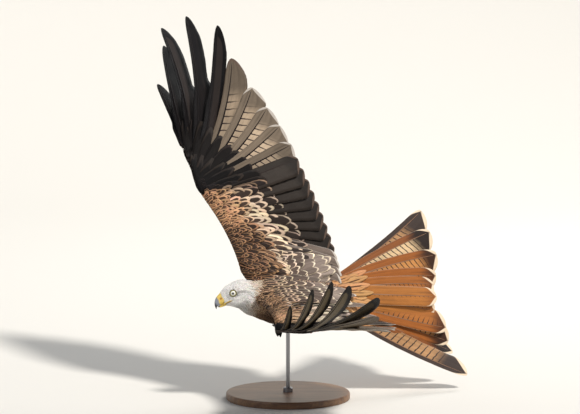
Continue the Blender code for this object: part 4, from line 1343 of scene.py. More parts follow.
def handCoverts(wing):
    # Long dark feathers over the hand: one for each flight feather, then a fan from the wrist
    row, amount = handFeathers, handFeathers["amount"]
    number = np.linspace(*row["span"], amount) + dice.normal(0, 0.05, amount)
    root, tip, wide = (np.interp(number, row["marks"], row[key]) for key in ("roots", "tips", "wide"))
    lines = fanLines(wing, np.stack((number, root), -1), np.stack((number, tip), -1), (0.0004, 0.0014))
    tones = varied(evenTones((22, 19, 18), (44, 37, 33), 0.86, amount), 0.08)
    bake = spots(fitted(number, 0.04, 0.5), 0.97)
    hand = plumeBatch(*lines, wide, tones, bake, "blunt", 0.08, 0.12 * wing["side"])
    fan = np.array(wristFan)
    lines = fanLines(wing, fan[:, 2:4], fan[:, :2], (0.001, 0.0026))
    tones = varied(evenTones((15, 13, 13), (46, 38, 33), 0.93, len(fan)), 0.06)
    bake = spots(fitted(fan[:, 0], 0.55, 0.97), 0.97)
    return [hand, plumeBatch(*lines, fan[:, 4], tones, bake, "blunt", 0.1, 0.16 * wing["side"])]


thumbPlan = {
    "wrist": (0.1756, -0.3292, 0.1801), "bow": (-0.0012, -0.002, 0), "up": (-0.1, -0.99, 0.1),
    "roots": ((0.0018, 0.006, 0.013), (0.0085, 0.005, 0.011), (0.0035, 0.003, 0.012)),
    "tips": ((0.0008, -0.003, -0.016), (0.0064, -0.003, -0.0178), (0.0045, -0.001, -0.007)),
    "widths": (0.0125, 0.0095, 0.014),
}


def thumbFeathers():
    # Three pointed feathers that hang from the lower wrist
    plan = {key: np.array(value) for key, value in thumbPlan.items()}
    wrist, s = fromBody(plan["wrist"]), plumeShares[None, :, None]
    roots, tips = (wrist + plan[key] for key in ("roots", "tips"))
    centres = between(roots[:, None], tips[:, None], s) + plan["bow"] * 4 * s * (1 - s)
    ups = np.broadcast_to(plan["up"], centres.shape)
    tones = varied(evenTones((15, 14, 15), (40, 38, 40), 0.93, 3), 0.05)
    bake = np.array(((0.52, 0.94), (0.54, 0.97), (0.53, 0.95)))
    return plumeBatch(centres, ups, plan["widths"], tones, bake, "narrow")


for label, wing in wings.items():
    flight = [bpy.data.objects[name + label].data for name in ("primaries", "secondaries")]
    wing["tree"] = searchTree(skin, *flight)
    for surface, rows in (("upper", upperRows), ("under", underRows)):
        last = (23.1 if label == "Right" else 22.2) if surface == "upper" else 21.6
        batches = [covertRow(wing, surface, row, k, -0.3, last) for k, row in enumerate(rows)]
        if surface == "upper":
            batches = handCoverts(wing) + batches
        if surface == "upper" and label == "Left":
            batches.append(thumbFeathers())
        makePiece("coverts" + surface.title() + label, joined(batches), plumeCoat)


def guideSurface():
    # Everything that the long feathers of the back and the tail's root lie over
    sheets = []
    for wing in wings.values():
        for lift in (0.0052, -0.0036):
            sheets.append((wing["sheet"] + wing["normals"] * lift)[96::3, 12::2])
    return searchTree(skin, *sheets, bpy.data.objects["tailFeathers"].data)


guideTree = guideSurface()


rounding = 4e-9  # metres, under which two distances are equal


def dropped(points, ways, reach=0.06):
    # Where points lie once they are dropped along a direction, or the nearest place where nothing is met
    places, normals = np.empty_like(points), np.empty_like(points)
    for i, (point, way) in enumerate(zip(points, ways)):
        place, normal, _, _ = guideTree.ray_cast(Vector(point - way * reach), Vector(way), reach * 2.2)
        if place is None:
            # Faces that share an edge can be equally near: the first one made counts, in every run
            gap = guideTree.find_nearest(Vector(point))[3]
            ties = guideTree.find_nearest_range(Vector(point), gap + rounding)
            place, normal, _, _ = min(ties, key=lambda hit: hit[2])
        if normal.dot(Vector(way)) > 0:
            normal = -normal
        places[i], normals[i] = place, normal
    return places, normals


axisLine = np.vstack((
    fromBody(((-0.124, 0, 0.007), (-0.095, 0, 0.004), (-0.06, 0, 0.001), (-0.02, 0, 0.0), (0.02, 0, 0.001),
              (0.055, 0, 0.003), (0.082, 0, 0.007))),
    fromHead(((-0.03, 0, -0.004), (-0.014, 0, 0.0), (0.002, 0, 0.001), (0.016, 0, 0.0), (0.031, 0, -0.003))),
))


def fineLine(controls, amount):
    # A smooth line through points, evenly spaced, and its directions
    line = smoothRows(controls, amount * 4)
    run = np.concatenate(((0,), np.cumsum(np.linalg.norm(np.diff(line, axis=0), axis=1))))
    even = np.linspace(0, run[-1], amount)
    line = np.stack([np.interp(even, run, line[:, k]) for k in range(3)], -1)
    return line, unit(np.gradient(line, axis=0)), even


spine, spineWays, spineRuns = fineLine(axisLine, 400)
for _ in range(60):
    spineWays[1:-1] = unit(calmer(spineWays))
coatPlan = {
    # in hundredths of a millimetre: rows' spacing, feathers' spacing round, length, width,
    # lift at root and tip
    "face": (125, 135, 440, 180, 20, 70),
    "crown": (160, 165, 780, 230, 30, 120),
    "nape": (250, 280, 1500, 420, 40, 240),
    "neck": (340, 420, 2000, 660, 60, 360),
    "trunk": (540, 680, 2800, 1180, 100, 460),
    "rear": (640, 740, 2600, 1300, 80, 400),
}


def planAt(point):
    head, body = inHead(point), inBody(point)
    row = np.array(coatPlan["rear"]) / 1e5
    for name, share in (
        ("trunk", ease(-0.1, -0.07, body[0])),
        ("neck", ease(0.055, 0.09, body[0])), ("nape", ease(-0.062, -0.038, head[0])),
        ("crown", ease(-0.034, -0.012, head[0])), ("face", ease(0.004, 0.022, head[0])),
    ):
        row = between(row, np.array(coatPlan[name]) / 1e5, share)
    return row


def gapeHeight(fore):
    return -0.0122 + 0.0022 * ease(0.03, 0.01, fore)


bareSkin = {
    "side": 0.009, "eye": (0.0079, 0.0012), "bill": 0.029,
    "cere": (0.0262, -0.0135), "gape": (0.0085, 0.0013),
}


def bare(head):
    # Places with no feathers: the eyes' rings, the cere and the gape
    fore, side, up = head.T
    outer = np.abs(side) > bareSkin["side"]
    ring, front = bareSkin["eye"]
    eye = (eyeGap(head) < ring + front * ease(0.0, 0.004, fore - eyeAt[0])) & outer
    cere = (fore > bareSkin["cere"][0]) & (up > bareSkin["cere"][1])
    gape = (fore > bareSkin["gape"][0]) & (np.abs(up - gapeHeight(fore)) < bareSkin["gape"][1]) & outer
    return eye | cere | gape | (fore > bareSkin["bill"])


headRun = spineRuns[np.argmin(np.abs(inHead(spine)[:, 0] + 0.02))]


rayReach = {"farthest": 0.085, "roots": 0.074, "outside": 0.06}  # in metres from the body's axis


def ringRoots():
    roots, runs, angles, plans = [], [], [], []
    run, turned = spineRuns[-1] - 0.0005, 0
    while run > 0.001:
        at = int(round(run / spineRuns[-1] * (len(spine) - 1)))
        centre, way = spine[at], spineWays[at]
        plan = planAt(centre)
        right = unit(np.cross(np.cross(way, bodyAxes[1]), way))
        up = unit(np.cross(right, way))
        up = up * np.sign(up @ bodyAxes[2])
        turn = np.linspace(-math.pi, math.pi, 73)
        rays = np.outer(np.sin(turn), right) + np.outer(np.cos(turn), up)
        hits = []
        for ray in rays:
            place, _, _, away = skinTree.ray_cast(Vector(centre), Vector(ray), rayReach["farthest"])
            hits.append(away if place is not None else rayReach["farthest"])
        hits = np.array(hits)
        arcs = np.concatenate(((0,), np.cumsum(np.hypot(
            (hits[1:] + hits[:-1]) / 2 * (turn[1] - turn[0]), np.minimum(np.abs(np.diff(hits)), 0.004)))))
        amount = max(int(arcs[-1] / plan[1]), 6)
        spots = (np.arange(amount) + 0.5 * (turned % 2)) / amount * arcs[-1]
        for spot in spots + dice.normal(0, plan[1] * 0.12, amount):
            angle = np.interp(spot % arcs[-1], arcs, turn)
            ray = right * math.sin(angle) + up * math.cos(angle)
            place = skinTree.ray_cast(Vector(centre), Vector(ray), rayReach["roots"])[0]
            if run > headRun:
                # from outside, past the eye's socket
                start = Vector(centre + ray * rayReach["outside"])
                place = skinTree.ray_cast(start, -Vector(ray), rayReach["outside"])[0]
            if place is not None:
                roots.append(np.array(place))
                runs.append(run + dice.normal(0, plan[0] * 0.12))
                angles.append(angle)
                plans.append(plan)
        run -= plan[0]
        turned += 1
    return np.array(roots), np.array(runs), np.array(angles), np.array(plans)


def marched(roots, ways, lengths):
    # Lines that start at roots and follow the skin along given directions
    places, normals = [], []
    for step in (0, *np.diff(plumeShares)):
        if places:
            way = ways - normals[-1] * (ways * normals[-1]).sum(1)[:, None]
            roots = places[-1] + unit(way) * (lengths * step)[:, None]
        place, normal = onSkin(roots)
        places.append(place)
        normals.append(normal)
    return np.stack(places, 1), np.stack(normals, 1)


def bodyCoat():
    roots, runs, angles, plans = ringRoots()
    head, body = inHead(roots), inBody(roots)
    inWing = (np.abs(body[:, 1]) > 0.056) & (body[:, 0] > -0.07)
    keep = ~bare(head) & ~inWing
    roots, runs, angles, plans = roots[keep], runs[keep], angles[keep], plans[keep]
    at = np.clip(runs - plans[:, 2] * 0.4, 0, spineRuns[-1])
    ways = -np.stack([np.interp(at, spineRuns, spineWays[:, k]) for k in range(3)], -1)
    head, body = inHead(roots), inBody(roots)
    # On the face the feathers run back from the bill and round the eye
    fromBill = unit(roots - (headCentre + headAxes[0] * 0.04 - headAxes[2] * 0.004))
    ways = unit(between(ways, fromBill, ease(-0.005, 0.02, head[:, 0])[:, None]))
    gap = eyeGap(head)
    aside = (head[:, :1] - eyeAt[0]) * headAxes[0] + (head[:, 2:] - eyeAt[1]) * headAxes[2]
    near = (ease(0.014, 0.009, gap) * (np.abs(head[:, 1]) > 0.009))[:, None]
    ways = unit(ways + aside / np.maximum(gap, 1e-4)[:, None] * near * 0.9)
    ways = unit(ways + dice.normal(0, 0.07, ways.shape))
    lengths = plans[:, 2] * spread(0.07, len(roots))
    centres, ups = marched(roots, ways, lengths)
    low, high = plans[:, 4:5], plans[:, 5:6]
    lift = low + (high - low) * plumeShares * spread(0.08, (len(roots), 1))
    ups[:, 1:-1] = unit(calmer(ups, 1))
    centres = centres + ups * lift[..., None]
    tones = varied(bodyTones(roots), 0.09, 0.05)
    widths = plans[:, 3] * spread(0.06, len(roots))
    return {"centres": centres, "ups": ups, "widths": widths, "tones": tones, "runs": runs, "angles": angles,
            "head": inHead(roots)}


coat = bodyCoat()


def coatPart(name, chosen, profile):
    bake = spots(fitted(coat["runs"][chosen]), fitted(coat["angles"][chosen]))
    columns = (coat[key][chosen] for key in ("centres", "ups", "widths", "tones"))
    tilt = dice.normal(0, 0.1, int(chosen.sum()))
    makePiece(name, plumeBatch(*columns, bake, profile, 0.1, tilt), plumeCoat)


onHead, onNeck = coat["head"][:, 0] > -0.034, coat["head"][:, 0] > -0.085
onFace = coat["head"][:, 0] > -0.004
coatPart("coatFace", onFace, "narrow")
coatPart("coatCrown", onHead & ~onFace, "narrow")
coatPart("coatNeck", onNeck & ~onHead, "narrow")
coatPart("coatTrunk", ~onNeck & ~onHead, "round")


def draped(roots, ways, lengths, down, lift, follow=0.35):
    # Lines dropped on to what lies beneath, then smoothed
    shares = plumeShares[None, :, None]
    points = roots[:, None] + ways[:, None] * lengths[:, None, None] * shares
    found = dropped(points.reshape(-1, 3), np.repeat(down, len(plumeShares), axis=0))
    places, normals = (values.reshape(points.shape) for values in found)
    heights = -((places - points) * down[:, None]).sum(-1)
    for k, step in enumerate(np.diff(plumeShares), 1):
        heights[:, k] = np.maximum(heights[:, k], heights[:, k - 1] - 0.5 * lengths * step)
    # one calm curve that clears what lies beneath
    powers = np.stack((plumeShares**0, plumeShares, plumeShares**2))
    calm = np.polyfit(plumeShares, heights.T, 2)[::-1].T @ powers
    calm += np.maximum((heights - calm).max(1, keepdims=True), 0) * 0.6
    places = points - down[:, None] * calm[..., None]
    ups = unit(between(-down[:, None], normals, follow))
    centres = places + ups * (lift[0] + (lift[1] - lift[0]) * shares)
    for _ in range(3):
        centres[:, 1:-1] = calmer(centres, 1)
        ups[:, 1:-1] = unit(calmer(ups, 1))
    return centres, ups


scapularRows = (
    # in tenths of a millimetre: fore, outward from and to, then how many feathers, then
    # length, width, lift at root and tip
    (960, 300, 580, 7, 220, 66, 10, 36), (900, 240, 620, 9, 230, 70, 12, 40),
    (840, 180, 640, 11, 240, 74, 14, 44), (770, 140, 660, 12, 250, 80, 18, 48),
    (690, 40, 680, 13, 270, 90, 24, 52), (600, 40, 700, 12, 300, 105, 28, 56),
    (500, 40, 720, 11, 340, 130, 32, 60), (380, 50, 720, 9, 400, 165, 34, 64),
    (250, 50, 700, 8, 470, 200, 34, 68), (100, 60, 680, 7, 560, 240, 34, 72),
    (-80, 70, 640, 6, 640, 270, 32, 74), (-260, 80, 600, 5, 720, 300, 30, 74),
    (-440, 90, 540, 4, 740, 310, 26, 70),
)


def scapulars(label):
    side = wings[label]["side"]
    batches = []
    for k, row in enumerate(reversed(scapularRows)):
        amount = row[3]
        fore, inner, outer, _, length, width, low, high = np.array(row) / 1e4
        out = np.linspace(inner, outer, amount) + dice.normal(0, 0.0012, amount)
        fores = fore - 0.1 * (out - inner) + dice.normal(0, 0.0015, amount)
        roots = fromBody(np.stack((fores, out * side, np.full(amount, 0.05)), -1))
        slant = np.radians(6 + 16 * (out - inner) / 0.05 + dice.normal(0, 2.5, amount))
        ways = np.stack((-np.cos(slant), np.sin(slant) * side, np.full(amount, -0.02)), -1) @ bodyAxes
        lean = np.radians(8 + 260 * np.maximum(out - 0.02, 0))
        down = -np.stack((0 * lean, np.sin(lean) * side * 0.6, np.cos(lean)), -1) @ bodyAxes
        lengths = length * spread(0.05, amount)
        centres, ups = draped(roots, ways, lengths, unit(down), (low, high))
        share = min(max((0.085 - fore) / 0.07, 0), 1)
        dark = between(paint(60, 49, 43), paint(92, 78, 70), share)
        dark = dark + (paint(140, 126, 116) - dark) * ease(0.02, -0.04, fore)
        light = between(paint(198, 160, 126), paint(232, 214, 190), share)
        tones = varied(np.tile((*dark, *light, 0.5 + 0.36 * share), (amount, 1)), 0.12, 0.06)
        bake = spots(0.03 + 0.94 * k / 12, 0.03 + 0.94 * out / 0.075)
        batches.append(plumeBatch(centres, ups, width * spread(0.04, amount), tones,
                                  np.clip(bake, 0.02, 0.98), "long", 0.07, 0.1 * side))
    makePiece("scapulars" + label, joined(batches), plumeCoat)


for label in wings:
    scapulars(label)


def tailCoverts(name, surface, rows, dark, light, streak):
    # rows in tenths of a millimetre: fore, half width, how many feathers, length, width, lift at root and tip
    sign = 1 if surface == "upper" else -1
    batches = []
    for k, row in enumerate(reversed(rows)):
        amount = row[2]
        fore, wide, _, length, width, low, high = np.array(row) / 1e4
        out = np.linspace(-wide, wide, amount) + dice.normal(0, 0.001, amount)
        height = 0.035 * sign
        roots = fromBody((fore, 0, 0)) + tailAcross * out[:, None] + tailUp * height
        yaw = np.radians(out / wide * 24 + dice.normal(0, 2.0, amount)) + math.radians(3)
        ways = -bodyAxes[0] * np.cos(yaw)[:, None] + tailAcross * np.sin(yaw)[:, None]
        down = np.tile(-tailUp * sign, (amount, 1))
        lengths = length * spread(0.05, amount)
        centres, ups = draped(roots, unit(ways), lengths, down, (low, high))
        tones = varied(np.tile((*dark, *light, streak), (amount, 1)), 0.09, 0.04)
        bake = spots(0.03 + 0.94 * k / (len(rows) - 1), 0.5 + 0.47 * out / 0.045)
        bake = np.clip(bake, 0.02, 0.98)
        batches.append(plumeBatch(centres, ups, np.full(amount, width), tones, bake, "long", 0.08))
    makePiece(name, joined(batches), plumeCoat)


tailCoverts("tailCovertsUpper", "upper", (
    (-760, 120, 4, 420, 135, 20, 40), (-840, 180, 6, 480, 145, 20, 40), (-920, 240, 8, 560, 155, 18, 36),
    (-1000, 280, 9, 660, 165, 18, 34), (-1070, 300, 9, 780, 175, 15, 30), (-1130, 300, 8, 940, 185, 12, 26),
), paint(88, 60, 42), paint(194, 144, 98), 0.12)
tailCoverts("tailCovertsUnder", "under", (
    (-800, 240, 6, 360, 160, 24, 50), (-960, 260, 6, 480, 185, 22, 52), (-1100, 280, 7, 600, 205, 20, 48),
    (-1200, 290, 7, 780, 220, 16, 40),
), paint(150, 98, 66), paint(222, 176, 132), 0.12)


def tonedMaterial(name, bumpScale, bumpDepth, **settings):
    # A surface whose colour is in its skinTone column, a little uneven
    material, tree, shader = newMaterial(name, **settings)
    tone = attribute(tree, "skinTone").outputs["Color"]
    uneven = noise(objectPlace(tree), bumpScale, 4.0)
    shaded(tree, shader, tone, remap(uneven, 0.3, 0.7, 0.86, 1.08))
    bumped(tree, shader, uneven, bumpDepth)
    return material


def loftBetween(rings, ends=True):
    # A closed solid through rings of points, with flat ends or from the last ring on to the first
    bm = bmesh.new()
    loops = []
    for k, ring in enumerate(rings):
        cap = ends and k in (0, len(rings) - 1)
        made = bmesh.ops.create_circle(bm, cap_ends=cap, segments=len(ring), radius=1.0)
        for vert, point in zip(made["verts"], ring):
            vert.co = point
        own = set(made["verts"])
        loops.append([e for v in made["verts"] for e in v.link_edges if e.other_vert(v) in own])
    for near, far in zip(loops, loops[1:] + ([] if ends else loops[:1])):
        bmesh.ops.bridge_loops(bm, edges=list(set(near + far)))
    bmesh.ops.recalc_face_normals(bm, faces=bm.faces)
    return bm


def paintedPiece(name, bm, tones, material, slotName, replaced=()):
    mesh = meshFrom(bm, name)
    colourColumn(mesh, "skinTone", opaque(tones(meshPoints(mesh))))
    return placed(name, mesh, material, replaced)


def headPoints(fore, up, side):
    return fromHead(np.stack(np.broadcast_arrays(fore, side, up), -1))


# Each row in tenths of a millimetre: top fore, top up, bottom fore, bottom up, half width
billRows = {
    "upper": (
        (205, 110, 225, -105, 108), (250, 142, 262, -117, 108), (290, 126, 295, -119, 94),
        (340, 104, 340, -119, 80), (390, 72, 380, -118, 64), (435, 25, 415, -116, 47),
        (468, -35, 437, -118, 33), (484, -100, 452, -132, 20), (483, -150, 470, -158, 8),
        (479, -166, 475, -168, 2),
    ),
    "lower": (
        (230, -122, 240, -176, 92), (297, -124, 297, -175, 79), (340, -124, 340, -172, 65),
        (390, -124, 385, -163, 46), (425, -126, 420, -142, 20), (436, -129, 434, -134, 5),
    ),
}
faceColours = {
    "cere": paint(240, 208, 104), "cereDeep": paint(224, 146, 44), "horn": paint(148, 153, 164),
    "hornTip": paint(34, 34, 38), "nostril": paint(104, 48, 16), "gapeLine": paint(84, 42, 22),
    "lid": paint(150, 142, 66),
    "lidEdge": paint(52, 46, 34), "lidSkirt": paint(206, 203, 198), "iris": paint(246, 246, 236),
    "irisRim": paint(196, 190, 140), "pupil": paint(8, 8, 9),
}


def billRings(which, amount, sides, lean):
    rings = []
    for topFore, topUp, lowFore, lowUp, half in smoothRows(np.array(billRows[which]) / 1e4, amount):
        turn = np.linspace(0, math.tau, sides, endpoint=False)
        up = np.cos(turn)
        side = np.sin(turn) * (1 - lean * up) * max(half, 0.0001)
        if which == "upper":
            side *= 1 - 0.1 * np.exp(-((up - 0.35) ** 2) / 0.08)
        fore = (topFore + lowFore) / 2 + (topFore - lowFore) / 2 * up
        height = (topUp + lowUp) / 2 + (topUp - lowUp) / 2 * up
        rings.append(headPoints(fore, height, side))
    return rings


def billTone(points):
    fore, _, up = inHead(points).T
    c = faceColours
    bend = 0.0362 - 0.0006 * np.sin((up + 0.002) * 500)
    horn = ease(-0.0012, 0.0012, fore - bend)[:, None]
    dark = ease(0.041, 0.0485, fore - 0.35 * (up + 0.004))[:, None]
    tone = between(c["cere"], between(c["horn"], c["hornTip"], dark), horn)
    hole = np.exp(-(((fore - 0.0296) / 0.0023) ** 2 + ((up - 0.003) / 0.0014) ** 2) ** 1.5)[:, None]
    glow = np.exp(-(((fore - 0.0294) / 0.0042) ** 2 + ((up - 0.0025) / 0.0032) ** 2))[:, None]
    return between(between(tone, c["cereDeep"], glow * 0.7), c["nostril"], hole)


def lowerTone(points):
    head = inHead(points)
    dark = ease(0.0365, 0.041, head[:, 0])[:, None]
    return faceColours["cere"] * (1 - dark) + faceColours["hornTip"] * 1.6 * dark


hornShine = tonedMaterial("billHorn", 900.0, 0.00008, Roughness=0.32, Coat_Weight=0.25, Coat_Roughness=0.2)
upperBill = loftBetween(billRings("upper", 46, 36, 0.22))
for vert in upperBill.verts:
    # the nostril's pit
    fore, side, up = inHead(np.array(vert.co))
    depth = 0.0012 * math.exp(-(((fore - 0.0296) / 0.0019) ** 2 + ((up - 0.003) / 0.0012) ** 2))
    vert.co -= Vector(headAxes[1]) * depth * math.copysign(1, side)
paintedPiece("billUpper", upperBill, billTone, hornShine, "bill_horn", ("bill_upper",))
paintedPiece("billLower", loftBetween(billRings("lower", 26, 28, -0.2)), lowerTone, hornShine, "bill_horn",
             ("bill_lower",))


def tubeAlong(line, radii):
    turn = np.linspace(0, math.tau, 8, endpoint=False)
    rings = []
    for point, way, radius in zip(line, unit(np.gradient(line, axis=0)), radii):
        across = unit(np.cross(way, headAxes[2]))
        up = np.cross(across, way)
        rings.append(point + np.outer(np.cos(turn), up) * radius + np.outer(np.sin(turn), across) * radius)
    return loftBetween(rings)


def gapeStrips():
    bm = bmesh.new()
    for side in (-1, 1):
        for lift in (0.0014, -0.0014, 0.0):
            fore = np.linspace(0.0315, 0.0088, 14)
            up = gapeHeight(fore) + lift * np.clip((fore - 0.0088) / 0.006, 0.15, 1)
            wide = np.interp(fore, (0.008, 0.018, 0.026, 0.0315), (0.023, 0.018, 0.0125, 0.0085))
            places = headPoints(fore, up, wide * side)
            near, out = onSkin(places)
            hug = ease(0.029, 0.024, fore)[:, None]
            places = between(places, near + out * (0.0004 if lift else 0.0001), hug)
            radii = 0.0008 * np.clip(1.15 - np.abs(np.linspace(-0.35, 1, 14)) ** 4, 0.25, 1)
            bm.from_mesh(meshFrom(tubeAlong(places, radii), "strip"))
    return bm


def gapeTone(points):
    head = inHead(points)
    middle = np.exp(-(((head[:, 2] - gapeHeight(head[:, 0])) / 0.0007) ** 4))[:, None]
    return between(faceColours["cere"], faceColours["gapeLine"], middle)


paintedPiece("gape", gapeStrips(), gapeTone, hornShine, "bill_horn")

eyePlan = {"radius": 0.0095, "out": 0.0139, "forward": 7.0, "up": 2.0}


def eyeFrame(side):
    centre = headPoints(eyeAt[0], eyeAt[1], eyePlan["out"] * side)
    forward, rise = math.radians(eyePlan["forward"]), math.radians(eyePlan["up"])
    level = headAxes[1] * side * math.cos(forward) + headAxes[0] * math.sin(forward)
    out = unit(level + headAxes[2] * math.sin(rise))
    up = unit(headAxes[2] - out * (headAxes[2] @ out))
    return centre, out, up, np.cross(up, out)


def eyeBall(side):
    centre, out, up, ahead = eyeFrame(side)
    bm = bmesh.new()
    bmesh.ops.create_uvsphere(bm, u_segments=64, v_segments=48, radius=eyePlan["radius"])
    for vert in bm.verts:
        x, y, z = vert.co
        swell = 0.0006 * math.exp(-((math.hypot(x, y) / 0.0042) ** 2)) if z > 0 else 0.0
        vert.co = centre + ahead * x + up * y + out * (z + swell)
    bmesh.ops.recalc_face_normals(bm, faces=bm.faces)

    def tone(points):
        c = faceColours
        away = np.linalg.norm(np.cross(points - centre, out), axis=1)
        behind = ((points - centre) @ out < 0)[:, None]
        pupil, rim = ease(0.0027, 0.0023, away)[:, None], ease(0.0047, 0.0058, away)[:, None]
        value = between(between(c["iris"], c["irisRim"], rim), c["pupil"], pupil)
        value = between(value, c["pupil"], ease(0.0057, 0.0062, away)[:, None])
        return np.where(behind, c["pupil"], value)

    return bm, tone


# In hundredths of a millimetre from the eye's centre: away from its axis, and along it
lidProfile = (
    (600, 690), (612, 765), (645, 800), (690, 800), (730, 760), (755, 770), (785, 720), (850, 610),
    (980, 440), (1090, 180), (900, 50),
)
lidBands = (("lidEdge", 0.0072, 0.0077), ("lidSkirt", 0.0082, 0.009), ("lidEdge", 0.0064, 0.0061))


def lidRing(side):
    centre, out, up, ahead = eyeFrame(side)
    rings = []
    for angle in math.tau * np.arange(56) / 56:
        reach, lift = np.array(lidProfile).T / 1e5
        corner = abs(math.cos(angle - 0.35)) ** 7
        oval = 1 + 0.1 * corner - 0.05 * max(math.sin(angle), 0)
        crease = 1 + 0.006 * math.sin(angle * 23) + 0.004 * math.sin(angle * 37 + 1)
        reach = reach * oval * np.where(np.arange(len(reach)) > 3, crease, 1.0)
        way = ahead * math.cos(angle) + up * math.sin(angle)
        rings.append(centre + np.outer(reach, way) + np.outer(lift, out))

    def tone(points):
        away = np.linalg.norm(np.cross(points - centre, out), axis=1)
        value = faceColours["lid"]
        for name, *span in lidBands:
            value = between(value, faceColours[name], ease(*span, away)[:, None])
        return value

    return loftBetween(rings, ends=False), tone


tuftRows = ((0.01, 0.0036, 52), (0.009, 0.005, 48), (0.0081, 0.0062, 44))  # reach, lift, how many


def eyeTufts(side):
    # Small feathers that leave the lids all round and cover their outer edge
    centre, out, up, ahead = eyeFrame(side)
    batches, s = [], plumeShares[None, :, None]
    for k, (reach, lift, amount) in enumerate(tuftRows):
        angles = math.tau * (np.arange(amount) + 0.5 * (k % 2)) / amount + dice.normal(0, 0.025, amount)
        turned = angles + 0.6 * np.sin(angles)
        spokes, ways = (np.cos(a)[:, None] * ahead + np.sin(a)[:, None] * up for a in (angles, turned))
        roots = centre + spokes * reach + out * lift
        lengths = 0.0044 * spread(0.08, amount)
        tips, tipOuts = onSkin(roots + ways * lengths[:, None] - out * 0.003)
        tips = tips + tipOuts * (0.0016 + 0.0002 * k)
        middles = (roots + tips) / 2 + out * 0.0007
        centres = roots[:, None] * (1 - s) ** 2 + 2 * middles[:, None] * s * (1 - s) + tips[:, None] * s**2
        along = unit(tips - roots)[:, None]
        ups = between(out, tipOuts[:, None], s)
        ups = unit(ups - along * (ups * along).sum(-1, keepdims=True))
        bake = spots(angles / math.tau % 1 * 0.92 + 0.04, 0.06 + 0.44 * k)
        tones = varied(bodyTones(tips), 0.07, 0.03)
        batches.append(plumeBatch(centres, ups, np.full(amount, 0.0016), tones, bake, "narrow"))
    return joined(batches)


eyeShine = tonedMaterial("eyeGloss", 700.0, 0.00001, Roughness=0.2, Specular_IOR_Level=0.3, Coat_Weight=0.5,
                        Coat_Roughness=0.02)
lidSkin = tonedMaterial("lidSkin", 1500.0, 0.00015, Roughness=0.5)
for side, tag in ((-1, "Left"), (1, "Right")):
    paintedPiece("eye" + tag, *eyeBall(side), eyeShine, "iris", ("eye_" + tag.lower(),))
    paintedPiece("lids" + tag, *lidRing(side), lidSkin, None)
    makePiece("eyeTufts" + tag, eyeTufts(side), plumeCoat)


def roundedPiece(name, nodes, material, colour=None):
    bm = cadCopy(nodes)
    bmesh.ops.recalc_face_normals(bm, faces=bm.faces)
    mesh = meshFrom(bm, name)
    if colour is not None:
        colourColumn(mesh, "skinTone", np.tile((*colour, 1.0), (len(mesh.vertices), 1)))
    rounding = placed(name, mesh, material, nodes).modifiers.new("Subdivision", "SUBSURF")
    rounding.levels = rounding.render_levels = 2


footSkin = tonedMaterial("footSkin", 600.0, 0.0004, Roughness=0.5)
for tag in ("left", "right"):
    roundedPiece("foot" + tag.title(), ("foot_" + tag,), footSkin, paint(222, 176, 62))
clawShine = newMaterial("clawHorn", Base_Color=paint(28, 26, 26), Roughness=0.3, Coat_Weight=0.3)[0]
for tag in ("left", "right"):
    nodes = ["claw_" + tag + "_" + toe for toe in ("hind", "inner", "middle", "outer")]
    roundedPiece("claws" + tag.title(), nodes, clawShine)


def woodMaterial():
    material, tree, shader = newMaterial("standWood", Roughness=0.45, Coat_Weight=0.15, Coat_Roughness=0.3)
    longer = addNode(tree, "ShaderNodeMapping", {"Vector": objectPlace(tree), "Scale": (1.0, 9.0, 9.0)})
    rings = noise(longer.outputs[0], 7.0, 5.0, Distortion=0.8)
    grain = noise(longer.outputs[0], 60.0, 3.0)
    wide = remap(rings, 0.35, 0.65)
    colour = mixed(wide, (*paint(104, 72, 46), 1.0), (*paint(138, 100, 66), 1.0))
    colour = mixed(remap(grain, 0.4, 0.6, 0.0, 0.35), colour, (*paint(78, 52, 34), 1.0))
    tree.links.new(colour, shader.inputs["Base Color"])
    bumped(tree, shader, grain, 0.0002)
    return material


def dress(name, material):
    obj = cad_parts[name]
    obj.data.materials.clear()
    obj.data.materials.append(material)


dress("stand_base", woodMaterial())
steel = newMaterial("brushedSteel", Base_Color=paint(150, 150, 152), Roughness=0.35, Metallic=1.0)[0]
dress("stand_rod", steel)


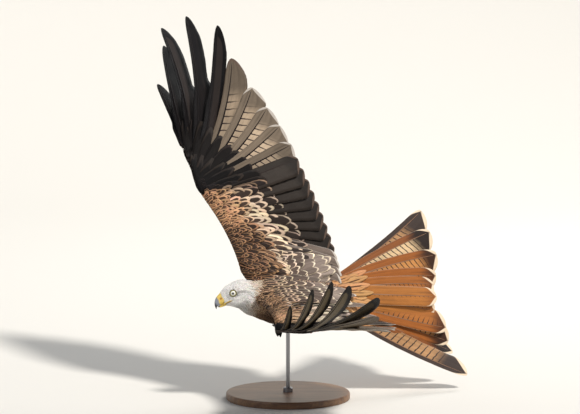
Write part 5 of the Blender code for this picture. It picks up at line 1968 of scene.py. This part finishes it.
def stageScene():
    bm = bmesh.new()
    bmesh.ops.create_grid(bm, x_segments=1, y_segments=1, size=6.0)
    far = [e for e in bm.edges if e.verts[0].co.y > 5 and e.verts[1].co.y > 5]
    made = bmesh.ops.extrude_edge_only(bm, edges=far)
    rise = [v for v in made["geom"] if isinstance(v, bmesh.types.BMVert)]
    bmesh.ops.translate(bm, verts=rise, vec=(0, 0, 6))
    corner = [e for e in bm.edges if all(v.co.y > 5 and v.co.z < 1 for v in e.verts)]
    bmesh.ops.bevel(bm, geom=corner, offset=3.0, affect="EDGES", segments=24, profile=0.5, material=-1)
    mesh = meshFrom(bm, "floor")
    mesh.shade_smooth()
    mesh.materials.append(newMaterial("floorPaper", Base_Color=paint(222, 220, 214), Roughness=0.9)[0])
    linked("floor", mesh)


def areaLight(name, place, target, size, energy, colour=(1.0, 1.0, 1.0)):
    light = bpy.data.lights.new(name, "AREA")
    light.size, light.energy, light.color = size, energy, colour
    obj = linked(name, light)
    obj.location = place
    obj.rotation_euler = (Vector(target) - Vector(place)).to_track_quat("-Z", "Y").to_euler()


stageScene()
key = bpy.data.lights.new("key", "SUN")
key.energy, key.angle, key.color = 3.3, math.radians(8), (1.0, 0.96, 0.91)
linked("key", key).rotation_euler = Vector((-1.7, 1.9, -2.9)).to_track_quat("-Z", "Y").to_euler()
areaLight("fill", (-3.0, -2.6, 1.4), (0, 0, 0.35), 2.6, 14, (0.92, 0.96, 1.0))
areaLight("rim", (1.6, 2.2, 2.6), (0, 0, 0.35), 1.4, 50)
world = bpy.data.worlds.new("studio")
world.use_nodes = True
for key, value in (("Color", (0.85, 0.9, 1.0, 1.0)), ("Strength", 0.27)):
    world.node_tree.nodes["Background"].inputs[key].default_value = value
bpy.context.scene.world = world
bpy.context.scene.view_settings.view_transform = "Standard"

cameraPlan = {
    "target": (0.0045, 0.0291, 0.4322), "distance": 10, "elevation": 8, "lens": 275.9, "sensor": 36.0,
}
camera = linked("camera", bpy.data.cameras.new("camera"))
camera.data.lens, camera.data.sensor_width = cameraPlan["lens"], cameraPlan["sensor"]
camera.data.clip_end = 60
elevation = math.radians(cameraPlan["elevation"])
target = Vector(cameraPlan["target"])
away = Vector((0, -math.cos(elevation), math.sin(elevation)))
camera.location = target + away * cameraPlan["distance"]
camera.rotation_euler = (target - camera.location).to_track_quat("-Z", "Y").to_euler()
bpy.context.scene.camera = camera
